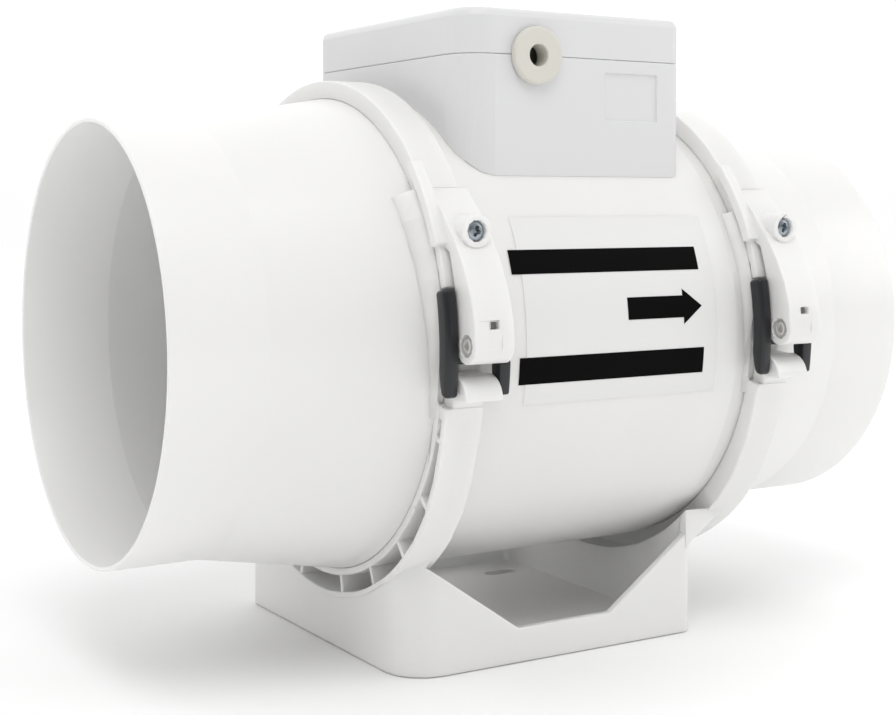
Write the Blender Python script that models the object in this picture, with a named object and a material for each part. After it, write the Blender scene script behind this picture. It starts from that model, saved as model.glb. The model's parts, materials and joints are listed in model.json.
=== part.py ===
"""Inline mixed-flow bathroom extractor fan with a lift-out motor section.

Air runs along +X: inlet spigot, motor section, outlet spigot.  Two identical
clamps close the joints, each an upper band with a latch at the front (-Y) and
one at the back, held on half rings that grow out of the foot.
The origin lies at the middle of the foot's underside, +Z is up.
Angles around the duct axis start at the front and climb over the top.
"""
import math

import bmesh
import bpy
from mathutils import Matrix, Vector

MM = 0.001

# ---------------------------------------------------------------- clearances
FIT_GAP = 0.3 * MM              # between neighbouring pieces that seat on each other

# ------------------------------------------------------------- duct and axis
AXIS_HEIGHT = 91.5 * MM
DUCT_RADIUS = 61.5 * MM         # outside of both spigots, for 125 mm duct
NECK_RADIUS = 61.3 * MM         # outside, where the straight spigot meets its cone
BODY_RADIUS = 70.0 * MM         # outside of the motor casing
FLANGE_STEP = 1.4 * MM          # from the casing down to the ends that the clamps grip
CASING_SLOPE = 5.8 * MM         # length of the casing's slope down to the outlet clamp
SHELL_WALL = 2.3 * MM
DUCT_WALL = 1.3 * MM            # spigots' wall at their open ends
INLET_LENGTH = 70.8 * MM        # from the inlet clamp's face to the duct end
OUTLET_LENGTH = 57.4 * MM       # from the outlet clamp's far face to the duct end
SPIGOT_STRAIGHT = 26.6 * MM

# -------------------------------------------------------------------- clamps
CLAMP_X = -50.7 * MM            # inlet-side face of the inlet clamp
CLAMP_PITCH = 106.5 * MM        # from clamp to clamp
BAND_WIDTH = 11.3 * MM
BAND_HEIGHT = 5.2 * MM          # from the band's inside to its outside
BAND_WALL = 1.8 * MM
TONGUE_START = 3.0              # degrees, lower end of the band's tongue behind the lever
TONGUE_STEP = 14.2              # degrees, where it rises to the band's outside above the lever
LUG_START = 21.7                # degrees, lower end of the raised lug
LUG_END = 41.0
LUG_HEIGHT = 1.5 * MM
LUG_WIDTH = 2.0 * MM
LUG_NOSE = 1.5 * MM             # overhang in front of the band's face
STRAP_OFFSET = 1.8 * MM         # strap's side behind the clamp's face
STRAP_WIDTH = 11.9 * MM
STRAP_WALL = 2.0 * MM
STRAP_ROOT = 35.0               # degrees, where the strap leaves the band
STRAP_SHOULDER = 21.7 * MM      # height of the strap's bend above the axis
STRAP_OUT = 1.5 * MM            # from the band's outside to the strap's open back
PIN_OUT = 5.2 * MM              # from the band's outside to the latch pin
PIN_RISE = 2.0 * MM             # latch pin's height above the axis
PIN_RADIUS = 1.5 * MM
PIN_HEAD_RADIUS = 2.7 * MM
PIN_HEAD = 0.8 * MM
PIN_SINK = 1.2 * MM             # depth of the counterbore for the pin's head
BARREL_RADIUS = 4.8 * MM
PEEP_WIDTH = 3.0 * MM           # inspection hole above the barrel
PEEP_HEIGHT = 2.0 * MM
STRAP_DEPTH = 4.0 * MM          # hollow's lower edge in front of the strap's open back
KNUCKLE_WIDTH = 3.8 * MM        # from the barrel's outlet end to its groove
GROOVE = 0.3 * MM

# -------------------------------------------------------------- latch levers
LEVER_IN = 1.8 * MM             # handle's inner face inside the band's outside
LEVER_OUT = 2.9 * MM            # handle's outer face outside the band's outside
LEVER_TIP_OUT = 0.3 * MM        # tip's inner face outside the band's outside
LEVER_TOP = 12.5                # degrees, upper end of the handle
LEVER_TIP = -8.7                # degrees, lower end of the claws
LEVER_TAPER = -3.5              # degrees, where the claw starts to thin
LEVER_ARM = 3.9 * MM
CLAW_WIDTH = 3.4 * MM
LEVER_CLEAR = 0.2 * MM          # between an arm and the strap's side
HUB_RADIUS = 2.8 * MM
WEB_HEIGHT = 5.0 * MM           # plate that joins arm and claw behind the strap
LEVER_NECK = (-2.2 * MM, 1.2 * MM)      # lower and upper face of the hub's neck, from the pin

# --------------------------------------------------------------- clamp screw
BOSS_RISE = 31.1 * MM           # above the axis
BOSS_OUT = 1.3 * MM             # boss's face outside the band's outside
BOSS_RADIUS = 4.4 * MM
SCREW_HEAD_RADIUS = 2.6 * MM
SCREW_HEAD = 1.5 * MM
SCREW_SINK = 0.9 * MM           # head room's depth above the head
SCREW_RADIUS = 1.6 * MM
SCREW_LENGTH = 8.0 * MM

# ---------------------------------------------------------------------- foot
FOOT_LENGTH = 100.4 * MM
FOOT_WIDTH = 101.6 * MM
FOOT_WALL = 2.5 * MM
FOOT_FLOOR = 2.5 * MM
FOOT_CORNER = 4.0 * MM
FOOT_FRONT_LEFT = 12.0 * MM
WINDOW_SILL = 9.7 * MM
WINDOW_SILL_X = (-13.3 * MM, 18.8 * MM)
WINDOW_DROP = 61.2 * MM         # window's top below the axis
WINDOW_TOP_X = (-43.1 * MM, 47.9 * MM)
WINDOW_SHOULDER = 6.8 * MM      # rise of the window's edge from its corner to the inlet ring
FLARE_REACH = 5.0 * MM          # of the corner bracket, past the outlet ring's edge
MOUNT_SLOT_RADIUS = 2.6 * MM
MOUNT_SLOT_LENGTH = 7.0 * MM
MOUNT_SLOT_X = 36.0 * MM
MOUNT_SLOT_Y = 34.0 * MM

# -------------------------------------------------------------------- cradle
CRADLE_WALL = 1.5 * MM
CRADLE_INNER = 2.1 * MM         # wall that lies against the joint
CRADLE_START = -11.5            # degrees, upper end of the half ring
CRADLE_BLEND = 30.0             # degrees over which the half ring deepens
CRADLE_DROP = {"inlet": 3.3 * MM, "outlet": 1.4 * MM}
CRADLE_RIBS = 5                 # on each side of the bottom
CRADLE_RIB_FIRST = -18.9        # degrees
CRADLE_RIB_PITCH = 15.2         # degrees
CRADLE_RIB = 1.5 * MM
CRADLE_END = 3.0                # degrees of solid at each end of the channel
KEEPER_TOP = -4.6               # degrees, upper end of the block behind the nose
KEEPER_RADIUS = 6.6 * MM        # quarter-round nose
KEEPER_BASE = 12.5 * MM         # flat underside, below the axis
KEEPER_OUT = 5.1 * MM           # nose's front outside the band's outside
HORN_TOP = {"inlet": 36.0, "outlet": 30.0}      # degrees
HORN_TOE = {"inlet": 6.3 * MM, "outlet": 3.8 * MM}      # reach of the horn's top before the clamp
HORN_FOOT = 1.9 * MM            # reach of its lower end
HORN_CREST = 3.1 * MM           # above the band's inside
HORN_LOW = 1.0 * MM
HORN_ROWS = (-12.6, -10.6, -4.0, 2.0, 8.0)      # degrees, sections between foot and full height

# -------------------------------------------------------------- terminal box
BOX_X = (-33.0 * MM, 42.4 * MM)
BOX_Y = (-53.0 * MM, 34.5 * MM)
SEAM_RISE = 9.2 * MM            # seam of box and lid above the casing's top
LID_HEIGHT = 13.1 * MM
BOX_WALL = 2.2 * MM
BOX_FRONT_LEFT = 10.0 * MM
BOX_CORNER = 3.0 * MM
LID_EDGE = 2.4 * MM
PANEL_X = (14.6 * MM, 33.5 * MM)
PANEL_DROP = (17.2 * MM, 3.5 * MM)      # lower and upper edge below the seam
PANEL_DEPTH = 0.5 * MM
POST_INSET = 7.2 * MM
POST_RADIUS = 3.8 * MM
LID_SCREW_RADIUS = 1.6 * MM
LID_SCREW_HEAD_RADIUS = 2.9 * MM
LID_SCREW_HEAD = 2.0 * MM
LID_SCREW_SINK = 1.0 * MM       # head below the lid's top
LID_SCREW_LENGTH = 11.0 * MM
GROMMET_X = -9.9 * MM
GROMMET_RADIUS = 8.2 * MM
GROMMET_NECK = 6.2 * MM
GROMMET_BORE = 3.1 * MM
GROMMET_FACE = 2.0 * MM
LEAD_HOLE_X = 28.0 * MM
LEAD_HOLE_Y = 8.0 * MM
LEAD_HOLE_RADIUS = 4.0 * MM
BOARD_X = (-19.0 * MM, 29.0 * MM)
BOARD_Y = (-45.5 * MM, -5.0 * MM)
BOARD_RISE = 4.1 * MM           # above the casing's top
BOARD_THICK = 1.6 * MM
BOARD_POST_RADIUS = 2.5 * MM
BLOCK_SIZE = (26.0 * MM, 12.0 * MM, 9.0 * MM)
BLOCK_X = -2.0 * MM
BLOCK_Y = -34.0 * MM
BLOCK_WAYS = 4
TRIMMER_X = 24.0 * MM
TRIMMER_Y = -36.0 * MM
TRIMMER_RADIUS = 3.2 * MM
TRIMMER_HEIGHT = 4.5 * MM
CAPACITOR_RADIUS = 7.5 * MM
CAPACITOR_X = (-16.0 * MM, 22.0 * MM)
CAPACITOR_Y = 19.0 * MM

# ----------------------------------------------------------- impeller, motor
SHAFT_RADIUS = 3.0 * MM
IMPELLER_X = (-34.0 * MM, -3.0 * MM)
IMPELLER_EYE = 43.0 * MM        # blade tip radius at the inlet side
TIP_INSET = 10.0 * MM           # from the casing's outside to the tips at the outlet side
IMPELLER_HUB = 40.5 * MM        # hub radius at the outlet side
HUB_WALL = 2.6 * MM
HUB_BOSS = 5.0 * MM             # wall of the boss around the shaft
HUB_CURVE = ((0.0, 0.15), (0.1, 0.33), (0.29, 0.52), (0.58, 0.72), (0.9, 0.94), (1.0, 1.0))
IMPELLER_BLADES = 7
BLADE_WRAP = 52.0               # degrees from leading to trailing edge
BLADE_LEAN = 4.0                # degrees from root to tip
BLADE_THICK = 1.6 * MM
BLADE_CURVE = 1.6               # how much faster the leading part of a blade turns
TIP_GAP = 1.5 * MM
SHROUD_WALL = 2.0 * MM
HOUSING_X = (3.0 * MM, 50.0 * MM)
HOUSING_RADIUS = 33.0 * MM
HOUSING_WALL = 2.0 * MM
VANES = 8
VANE_START = 13.5               # degrees, leading edge of the first vane
VANE_X = (9.0 * MM, 47.0 * MM)
VANE_SWEEP = 22.0               # degrees
VANE_THICK = 2.0 * MM
VANE_RING_X = (18.0 * MM, 38.0 * MM)
BEARING_RADIUS = 8.5 * MM
BEARING_WIDTH = 5.0 * MM
STATOR_X = (15.0 * MM, 37.0 * MM)
STATOR_BORE = 0.535             # share of the barrel's inside radius
WINDING_RING = (0.63, 0.87)     # inside and outside, shares of the same
ROTOR_AIR_GAP = 0.6 * MM
WINDING_LENGTH = 5.4 * MM
TAIL_LENGTH = 24.0 * MM

WELD = 0.005 * MM               # points nearer than this are one
ROUND = 40                      # facets around the large turned pieces
ROUND_INSIDE = 24               # facets around the wheel and vanes
ROUND_MOTOR = 16                # facets around the motor's rings
ROUND_SMALL = 10                # facets around pins and screws

# values that follow from the ones above
FLANGE_RADIUS = BODY_RADIUS - FLANGE_STEP
BAND_INNER = FLANGE_RADIUS + FIT_GAP
BAND_OUTER = BAND_INNER + BAND_HEIGHT
STRAP_REAR = BAND_OUTER + STRAP_OUT
PIN_REACH = BAND_OUTER + PIN_OUT
LEVER_INNER = BAND_OUTER - LEVER_IN
LEVER_OUTER = BAND_OUTER + LEVER_OUT
LEVER_TIP_INNER = BAND_OUTER + LEVER_TIP_OUT
BOSS_REACH = BAND_OUTER + BOSS_OUT
KEEPER_NOSE = BAND_OUTER + KEEPER_OUT
CASING_TOP = AXIS_HEIGHT + BODY_RADIUS
BOX_SEAM = CASING_TOP + SEAM_RISE
BOX_TOP = BOX_SEAM + LID_HEIGHT
BOARD_Z = CASING_TOP + BOARD_RISE
WINDOW_TOP = AXIS_HEIGHT - WINDOW_DROP
IMPELLER_TIP = BODY_RADIUS - TIP_INSET
INLET_END_X = CLAMP_X - INLET_LENGTH
OUTLET_CLAMP_X = CLAMP_X + CLAMP_PITCH
OUTLET_END_X = OUTLET_CLAMP_X + BAND_WIDTH + OUTLET_LENGTH
CLAMPS = {"inlet": CLAMP_X, "outlet": OUTLET_CLAMP_X}
SIDES = {"front": 1, "back": -1}
JOINT_HALF = 0.7 * MM           # from a joint's middle to each shell's end
SEAL_HALF = JOINT_HALF - FIT_GAP
SLIDE = FIT_GAP                 # around pins and screws


def around(x, radius, degrees):
    """Point at a radius and angle around the duct axis."""
    turn = math.radians(degrees)
    return Vector((x, -radius * math.cos(turn), AXIS_HEIGHT + radius * math.sin(turn)))


def material(name, color, roughness=0.35, metallic=0.0):
    made = bpy.data.materials.get(name)
    if made is None:
        made = bpy.data.materials.new(name)
        made.use_nodes = True
        shader = made.node_tree.nodes["Principled BSDF"]
        shader.inputs["Base Color"].default_value = (*color, 1.0)
        shader.inputs["Roughness"].default_value = roughness
        shader.inputs["Metallic"].default_value = metallic
    return made


def white_plastic():
    return material("white_plastic", (0.86, 0.86, 0.86), 0.3)


def box_plastic():
    return material("box_plastic", (0.72, 0.72, 0.74), 0.35)


def black_plastic():
    return material("black_plastic", (0.02, 0.02, 0.023), 0.4)


def rubber():
    return material("ivory_rubber", (0.7, 0.68, 0.58), 0.6)


def steel():
    return material("zinc_steel", (0.6, 0.62, 0.64), 0.3, 1.0)


def finish(name, bm, look, smooth=35.0):
    """Turn a bmesh into a scene object with its faces pointing out."""
    bmesh.ops.recalc_face_normals(bm, faces=bm.faces[:])
    mesh = bpy.data.meshes.new(name)
    bm.to_mesh(mesh)
    bm.free()
    mesh.shade_smooth()
    mesh.set_sharp_from_angle(angle=math.radians(smooth))
    obj = bpy.data.objects.new(name, mesh)
    bpy.context.scene.collection.objects.link(obj)
    mesh.materials.append(look)
    return obj


def turned(name, profile, look, start=0.0, sweep=360.0, steps=ROUND, pivot=None):
    """Spin a closed (x, radius) outline around the duct axis or a parallel one."""
    bm = bmesh.new()
    height = AXIS_HEIGHT if pivot is None else pivot[1]
    side = 0.0 if pivot is None else pivot[0]
    turn = math.radians(start)
    verts = []
    for x, radius in profile:
        place = (x, side - radius * math.cos(turn), height + radius * math.sin(turn))
        verts.append(bm.verts.new(place))
    edges = [bm.edges.new((a, b)) for a, b in zip(verts, verts[1:] + verts[:1])]
    bmesh.ops.spin(bm, geom=verts + edges, cent=(0.0, side, height), axis=(-1.0, 0.0, 0.0),
                   angle=math.radians(sweep), steps=steps)
    bmesh.ops.remove_doubles(bm, verts=bm.verts[:], dist=WELD)
    loose = [edge for edge in bm.edges if edge.is_wire]
    bmesh.ops.delete(bm, geom=loose, context="EDGES")
    fill_ends(bm)
    return finish(name, bm, look)


def fill_ends(bm):
    open_edges = [edge for edge in bm.edges if edge.is_boundary]
    if open_edges:
        bmesh.ops.holes_fill(bm, edges=open_edges, sides=0)


def lofted(name, rows, look):
    """Closed solid through a row of matching cross-sections."""
    bm = bmesh.new()
    rings = [[bm.verts.new(place) for place in row] for row in rows]
    loops = [[bm.edges.new((a, b)) for a, b in zip(ring, ring[1:] + ring[:1])] for ring in rings]
    for first, second in zip(loops, loops[1:]):
        bmesh.ops.bridge_loops(bm, edges=first + second)
    fill_ends(bm)
    return finish(name, bm, look)


def prism(name, outline, axis, low, high, look):
    """Extrude a 2D outline along one axis; its coordinates are the other two."""
    bm = bmesh.new()
    step = Vector([0.0, 0.0, 0.0])
    step["XYZ".index(axis)] = high - low
    verts = []
    for a, b in outline:
        place = {"X": (low, a, b), "Y": (a, low, b), "Z": (a, b, low)}[axis]
        verts.append(bm.verts.new(place))
    face = bm.faces.new(verts)
    grown = bmesh.ops.extrude_face_region(bm, geom=[face])["geom"]
    bmesh.ops.translate(bm, vec=step, verts=[v for v in grown if isinstance(v, bmesh.types.BMVert)])
    return finish(name, bm, look)


def block(name, low, high, look):
    outline = [(low[0], low[1]), (high[0], low[1]), (high[0], high[1]), (low[0], high[1])]
    return prism(name, outline, "Z", low[2], high[2], look)


def circle(center, radius, steps=ROUND_SMALL, start=0.0, sweep=360.0):
    """Points on a circle or, with a smaller sweep, an arc with both its ends."""
    count = steps if sweep == 360.0 else steps + 1
    points = []
    for i in range(count):
        turn = math.radians(start + sweep * i / steps)
        points.append((center[0] + radius * math.cos(turn), center[1] + radius * math.sin(turn)))
    return points


def rod(name, axis, center, radius, low, high, look, steps=ROUND_SMALL):
    return prism(name, circle(center, radius, steps), axis, low, high, look)


def rounded_outline(x_span, y_span, radii, inset=0.0, steps=4):
    """Rectangle with its own radius at each corner, front left first, going round."""
    x0, x1 = x_span[0] + inset, x_span[1] - inset
    y0, y1 = y_span[0] + inset, y_span[1] - inset
    corners = ((x0, y0, 1, 1, 180), (x1, y0, -1, 1, 270), (x1, y1, -1, -1, 0), (x0, y1, 1, -1, 90))
    points = []
    for (x, y, sx, sy, start), radius in zip(corners, radii):
        bend = max(radius - inset, 0.5 * MM)
        points += circle((x + sx * bend, y + sy * bend), bend, steps, start, 90.0)
    return points


def combine(target, tool, operation):
    """Boolean the tool into the target and drop the tool."""
    change = target.modifiers.new(operation.title(), "BOOLEAN")
    change.operation = operation
    change.solver = "EXACT"
    change.object = tool
    shape = target.evaluated_get(bpy.context.evaluated_depsgraph_get())
    mesh = bpy.data.meshes.new_from_object(shape)
    target.modifiers.clear()
    target.data = mesh
    bpy.data.objects.remove(tool)
    return target


def add(target, *tools):
    for tool in tools:
        combine(target, tool, "UNION")
    return target


def cut(target, *tools):
    for tool in tools:
        combine(target, tool, "DIFFERENCE")
    return target


def split_faces(obj):
    """Make every face a triangle, so that a Boolean meets only flat faces."""
    bm = bmesh.new()
    bm.from_mesh(obj.data)
    bmesh.ops.triangulate(bm, faces=bm.faces[:])
    bm.to_mesh(obj.data)
    bm.free()
    return obj


def reshade(obj, smooth=35.0):
    """Join the flat faces that Booleans have split, and shade the result."""
    bm = bmesh.new()
    bm.from_mesh(obj.data)
    bmesh.ops.dissolve_limit(bm, angle_limit=math.radians(0.2), verts=bm.verts[:], edges=bm.edges[:],
                             use_dissolve_boundaries=False)
    bm.to_mesh(obj.data)
    bm.free()
    obj.data.shade_smooth()
    obj.data.set_sharp_from_angle(angle=math.radians(smooth))
    return obj


def joined(name, tools, look):
    """Loose solids as one object, to be used as a Boolean tool."""
    bm = bmesh.new()
    for tool in tools:
        bm.from_mesh(tool.data)
        bpy.data.objects.remove(tool)
    return finish(name, bm, look)


def mirror_back(obj):
    """Flip a piece made for the front to the back of the duct's middle plane."""
    obj.data.transform(Matrix.Diagonal((1.0, -1.0, 1.0, 1.0)))
    obj.data.flip_normals()
    return obj


def at_side(side, build):
    """Build a front piece, and flip it for the back."""
    obj = build()
    return mirror_back(obj) if side == "back" else obj


# ------------------------------------------------------------- duct shells
def spigot(name, end_x, neck_x, face_x, joint_x):
    """Straight duct end, cone and the plain flange that the clamp closes on."""
    wall = SHELL_WALL
    profile = [(end_x, DUCT_RADIUS), (neck_x, NECK_RADIUS), (face_x, FLANGE_RADIUS),
               (joint_x, FLANGE_RADIUS), (joint_x, FLANGE_RADIUS - wall),
               (face_x, FLANGE_RADIUS - wall), (neck_x, NECK_RADIUS - wall),
               (end_x, DUCT_RADIUS - DUCT_WALL)]
    return turned(name, profile, white_plastic())


def duct_spigots():
    half = BAND_WIDTH / 2
    spigot("inlet_spigot", INLET_END_X, INLET_END_X + SPIGOT_STRAIGHT, CLAMP_X,
           CLAMP_X + half - JOINT_HALF)
    spigot("outlet_spigot", OUTLET_END_X, OUTLET_END_X - SPIGOT_STRAIGHT,
           OUTLET_CLAMP_X + BAND_WIDTH, OUTLET_CLAMP_X + half + JOINT_HALF)


def joint_seals():
    for end, clamp_x in CLAMPS.items():
        middle = clamp_x + BAND_WIDTH / 2
        low, high = middle - SEAL_HALF, middle + SEAL_HALF
        inner = FLANGE_RADIUS - SHELL_WALL
        outer = FLANGE_RADIUS - FIT_GAP
        profile = [(low, inner), (high, inner), (high, outer), (low, outer)]
        look = material("seal_rubber", (0.03, 0.03, 0.03), 0.8)
        turned(end + "_joint_seal", profile, look, steps=ROUND_INSIDE)


def motor_casing():
    """Middle shell; its ends step down to the flange radius under the clamps."""
    start = CLAMP_X + BAND_WIDTH / 2 + JOINT_HALF
    shoulder = CLAMP_X + BAND_WIDTH + FIT_GAP
    slope = OUTLET_CLAMP_X - CASING_SLOPE
    end = OUTLET_CLAMP_X + BAND_WIDTH / 2 - JOINT_HALF
    step = BODY_RADIUS - FLANGE_RADIUS
    wall = SHELL_WALL
    profile = [(start, FLANGE_RADIUS), (shoulder, FLANGE_RADIUS), (shoulder + step / 2, BODY_RADIUS),
               (slope, BODY_RADIUS), (OUTLET_CLAMP_X - FIT_GAP, FLANGE_RADIUS), (end, FLANGE_RADIUS),
               (end, FLANGE_RADIUS - wall), (slope, BODY_RADIUS - wall),
               (shoulder + wall, BODY_RADIUS - wall), (start, FLANGE_RADIUS - wall)]
    casing = turned("motor_casing", profile, white_plastic())
    hole = circle((LEAD_HOLE_X, LEAD_HOLE_Y), LEAD_HOLE_RADIUS, 12, 5.0)
    lead = prism("lead_hole", hole, "Z", AXIS_HEIGHT + BODY_RADIUS / 2,
                 AXIS_HEIGHT + BODY_RADIUS + SHELL_WALL, white_plastic())
    cut(split_faces(casing), split_faces(lead))
    return reshade(casing)


# ------------------------------------------------------------------ clamps
def pin_center():
    """Latch pin in the (y, z) plane of the front."""
    return (-PIN_REACH, AXIS_HEIGHT + PIN_RISE)


def polar(radius, degrees):
    """Point in the (y, z) plane around the duct axis."""
    place = around(0.0, radius, degrees)
    return (place.y, place.z)


def strap_curve(inset, start, steps):
    """Front of the strap: one quadratic bend from the band down to the barrel."""
    root = polar(BAND_OUTER, STRAP_ROOT)
    front = -PIN_REACH - BARREL_RADIUS
    bend = (front, AXIS_HEIGHT + STRAP_SHOULDER)
    foot = (front, AXIS_HEIGHT + PIN_RISE)
    points = []
    for i in range(steps + 1):
        t = start + (1.0 - start) * i / steps
        y, z = (sum(w * p[k] for w, p in zip(((1 - t) ** 2, 2 * t * (1 - t), t * t), (root, bend, foot)))
                for k in (0, 1))
        dy, dz = ((1 - t) * (bend[k] - root[k]) + t * (foot[k] - bend[k]) for k in (0, 1))
        length = math.hypot(dy, dz)
        points.append((y - inset * dz / length, z + inset * dy / length))
    return points


def strap_front():
    """Latch strap with cheeks, a hollow back and a barrel for the latch pin."""
    look = white_plastic()
    low = STRAP_OFFSET
    high = low + STRAP_WIDTH
    outline = strap_curve(0.0, 0.0, 6)
    outline += circle(pin_center(), BARREL_RADIUS, 6, 180.0, 140.0)[1:]
    outline += [polar(STRAP_REAR, angle) for angle in (0.0, 10.0, 20.0)]
    outline += [polar(BAND_OUTER - BAND_WALL / 2, angle) for angle in (22.0, 28.0, 34.0)]
    strap = prism("strap", outline, "X", low, high, look)
    hollow_radius = HUB_RADIUS + SLIDE
    center = pin_center()
    hollow = strap_curve(STRAP_WALL, 0.4, 3)[:-1]
    hollow += circle(center, hollow_radius, 4, 180.0, 120.0)
    hollow += [(-STRAP_REAR + STRAP_DEPTH, center[1] - hollow_radius * math.sin(math.radians(60.0)))]
    hollow += [polar(STRAP_REAR - 1.2 * MM, 12.0), polar(STRAP_REAR - 0.6 * MM, 21.0)]
    cut(strap, prism("hollow", hollow, "X", low + STRAP_WALL, high - STRAP_WALL, look))
    cut(strap, rod("pin_hole", "X", center, PIN_RADIUS + SLIDE, low - 1 * MM, high + 1 * MM, look))
    cut(strap, rod("head_room", "X", center, PIN_HEAD_RADIUS + SLIDE, low - 1 * MM, low + PIN_SINK, look))
    middle = (low + high) / 2
    half = PEEP_WIDTH / 2
    sill = center[1] + BARREL_RADIUS - 0.5 * MM
    front = -PIN_REACH - BARREL_RADIUS
    cut(strap, block("peephole", (middle - half, front - 1 * MM, sill),
                     (middle + half, -PIN_REACH, sill + PEEP_HEIGHT), look))
    seam = high - KNUCKLE_WIDTH
    reach = BARREL_RADIUS * 0.8
    cut(strap, block("groove", (seam - GROOVE, front - 1 * MM, center[1] - reach),
                     (seam, front + GROOVE, center[1] + reach), look))
    return strap


def screw_place():
    """Clamp screw in the (x, z) plane, x from the clamp's face."""
    return (STRAP_OFFSET + STRAP_WIDTH / 2, AXIS_HEIGHT + BOSS_RISE)


def clamp_half():
    """Everything that one end of the band carries, made for the front."""
    look = white_plastic()
    root = BAND_INNER + FIT_GAP
    top = BAND_OUTER + LUG_HEIGHT
    nose = BAND_INNER + HORN_CREST + 2 * FIT_GAP
    lug = [(0.0, root), (LUG_WIDTH, root), (LUG_WIDTH, top), (-LUG_NOSE, top), (-LUG_NOSE, nose),
           (0.0, nose)]
    half = turned("lug", lug, look, LUG_START, LUG_END - LUG_START, 3)
    skin = 0.1 * MM
    tongues = []
    for start, top in ((TONGUE_START, LEVER_INNER - 0.5 * MM), (TONGUE_STEP, BAND_OUTER - skin)):
        outline = [(skin, BAND_INNER + skin), (BAND_WIDTH - skin, BAND_INNER + skin),
                   (BAND_WIDTH - skin, top), (skin, top)]
        tongues.append(turned("tongue", outline, look, start, LUG_START + 3.0 - start, 4))
        skin *= 2
    inner_face = -polar(BAND_OUTER - BAND_WALL, math.degrees(math.asin(BOSS_RISE / BAND_OUTER)))[0]
    boss = rod("boss", "Y", screw_place(), BOSS_RADIUS, -BOSS_REACH, -inner_face, look, 14)
    return add(half, *tongues, strap_front(), boss)


def screw_cutters(look):
    """Counterbore and shank hole of the clamp screw, made for the front."""
    seat = -BOSS_REACH + SCREW_SINK + SCREW_HEAD
    head = rod("head_room", "Y", screw_place(), SCREW_HEAD_RADIUS + SLIDE, -BOSS_REACH - 1 * MM, seat, look)
    shank = rod("shank_room", "Y", screw_place(), SCREW_RADIUS + SLIDE, seat - 1 * MM,
                seat + SCREW_LENGTH + SLIDE, look)
    return head, shank


def clamp_band(end):
    """Upper half band, a U channel, with a lug, strap and screw boss at each end."""
    look = white_plastic()
    wall = BAND_WALL
    roof = BAND_OUTER - wall
    profile = [(0.0, BAND_INNER), (wall, BAND_INNER), (wall, roof), (BAND_WIDTH - wall, roof),
               (BAND_WIDTH - wall, BAND_INNER), (BAND_WIDTH, BAND_INNER), (BAND_WIDTH, BAND_OUTER),
               (0.0, BAND_OUTER)]
    start = LUG_START + 1.0
    band = turned("clamp_band_" + end, profile, look, start, 180.0 - 2 * start, 16)
    for side in SIDES:
        add(band, at_side(side, clamp_half))
        for i in range(2):
            cut(band, at_side(side, lambda: pick_one(screw_cutters(look), i)))
    band.data.transform(Matrix.Translation((CLAMPS[end], 0.0, 0.0)))
    return reshade(band)


def pick_one(pieces, index):
    """Keep one of a pair of tools and drop the other."""
    bpy.data.objects.remove(pieces[1 - index])
    return pieces[index]


def latch_lever():
    """Handle arm, short claw, web and hub as one moulding, made for the front."""
    look = black_plastic()
    strap_low = STRAP_OFFSET
    strap_high = STRAP_OFFSET + STRAP_WIDTH
    inner = [polar(LEVER_INNER, a) for a in (LEVER_TOP, LEVER_TOP / 2, 0.0, LEVER_TAPER)]
    inner.append(polar(LEVER_TIP_INNER, LEVER_TIP))
    outer = [polar(LEVER_OUTER, LEVER_TIP * (1 - k / 4) + LEVER_TOP * k / 4) for k in range(5)]
    arm_high = strap_low - LEVER_CLEAR
    arm = prism("arm", inner + outer, "X", arm_high - LEVER_ARM, arm_high, look)
    center = pin_center()
    claw_low = strap_high + LEVER_CLEAR
    claw = [polar(LEVER_INNER, LEVER_TAPER / 2), polar(LEVER_INNER, LEVER_TAPER),
            polar(LEVER_TIP_INNER, LEVER_TIP), polar(LEVER_OUTER, LEVER_TIP),
            polar(LEVER_OUTER, LEVER_TAPER / 2)]
    claw_piece = prism("claw", claw, "X", claw_low, claw_low + CLAW_WIDTH, look)
    web_front = -STRAP_REAR + 2 * FIT_GAP
    web_back = -LEVER_INNER - FIT_GAP
    web = block("web", (arm_high - LEVER_ARM / 2, web_front, center[1] - WEB_HEIGHT),
                (claw_low + CLAW_WIDTH / 2, web_back, center[1]), look)
    hub_low = strap_low + STRAP_WALL + FIT_GAP
    hub_high = strap_high - STRAP_WALL - FIT_GAP
    hub = rod("hub", "X", center, HUB_RADIUS, hub_low, hub_high, look)
    neck = block("neck", (hub_low + FIT_GAP, center[0], center[1] + LEVER_NECK[0]),
                 (hub_high - FIT_GAP, web_back - FIT_GAP, center[1] + LEVER_NECK[1]), look)
    add(arm, web, claw_piece, neck, hub)
    cut(arm, rod("pin_room", "X", center, PIN_RADIUS + SLIDE, hub_low - 1 * MM, hub_high + 1 * MM, look))
    return reshade(arm)


def latch_pin():
    """Shouldered pin with its head sunk in the strap's inlet side."""
    low = STRAP_OFFSET + PIN_SINK - FIT_GAP
    high = STRAP_OFFSET + STRAP_WIDTH - FIT_GAP
    face = low - PIN_HEAD
    profile = [(face, 0.0), (face, PIN_HEAD_RADIUS * 0.8), (low - PIN_HEAD / 2, PIN_HEAD_RADIUS),
               (low, PIN_HEAD_RADIUS), (low, PIN_RADIUS), (high, PIN_RADIUS), (high, 0.0)]
    return turned("pin", profile, steel(), steps=ROUND_SMALL, pivot=pin_center())


def clamp_screw():
    """Pan-head screw in the strap's boss."""
    x, z = screw_place()
    seat = -BOSS_REACH + SCREW_SINK + SCREW_HEAD - SLIDE
    head = rod("screw", "Y", (x, z), SCREW_HEAD_RADIUS, seat - SCREW_HEAD, seat, steel())
    shank = rod("shank", "Y", (x, z), SCREW_RADIUS, seat - 0.2 * MM, seat + SCREW_LENGTH, steel())
    return reshade(add(head, shank))


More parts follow.
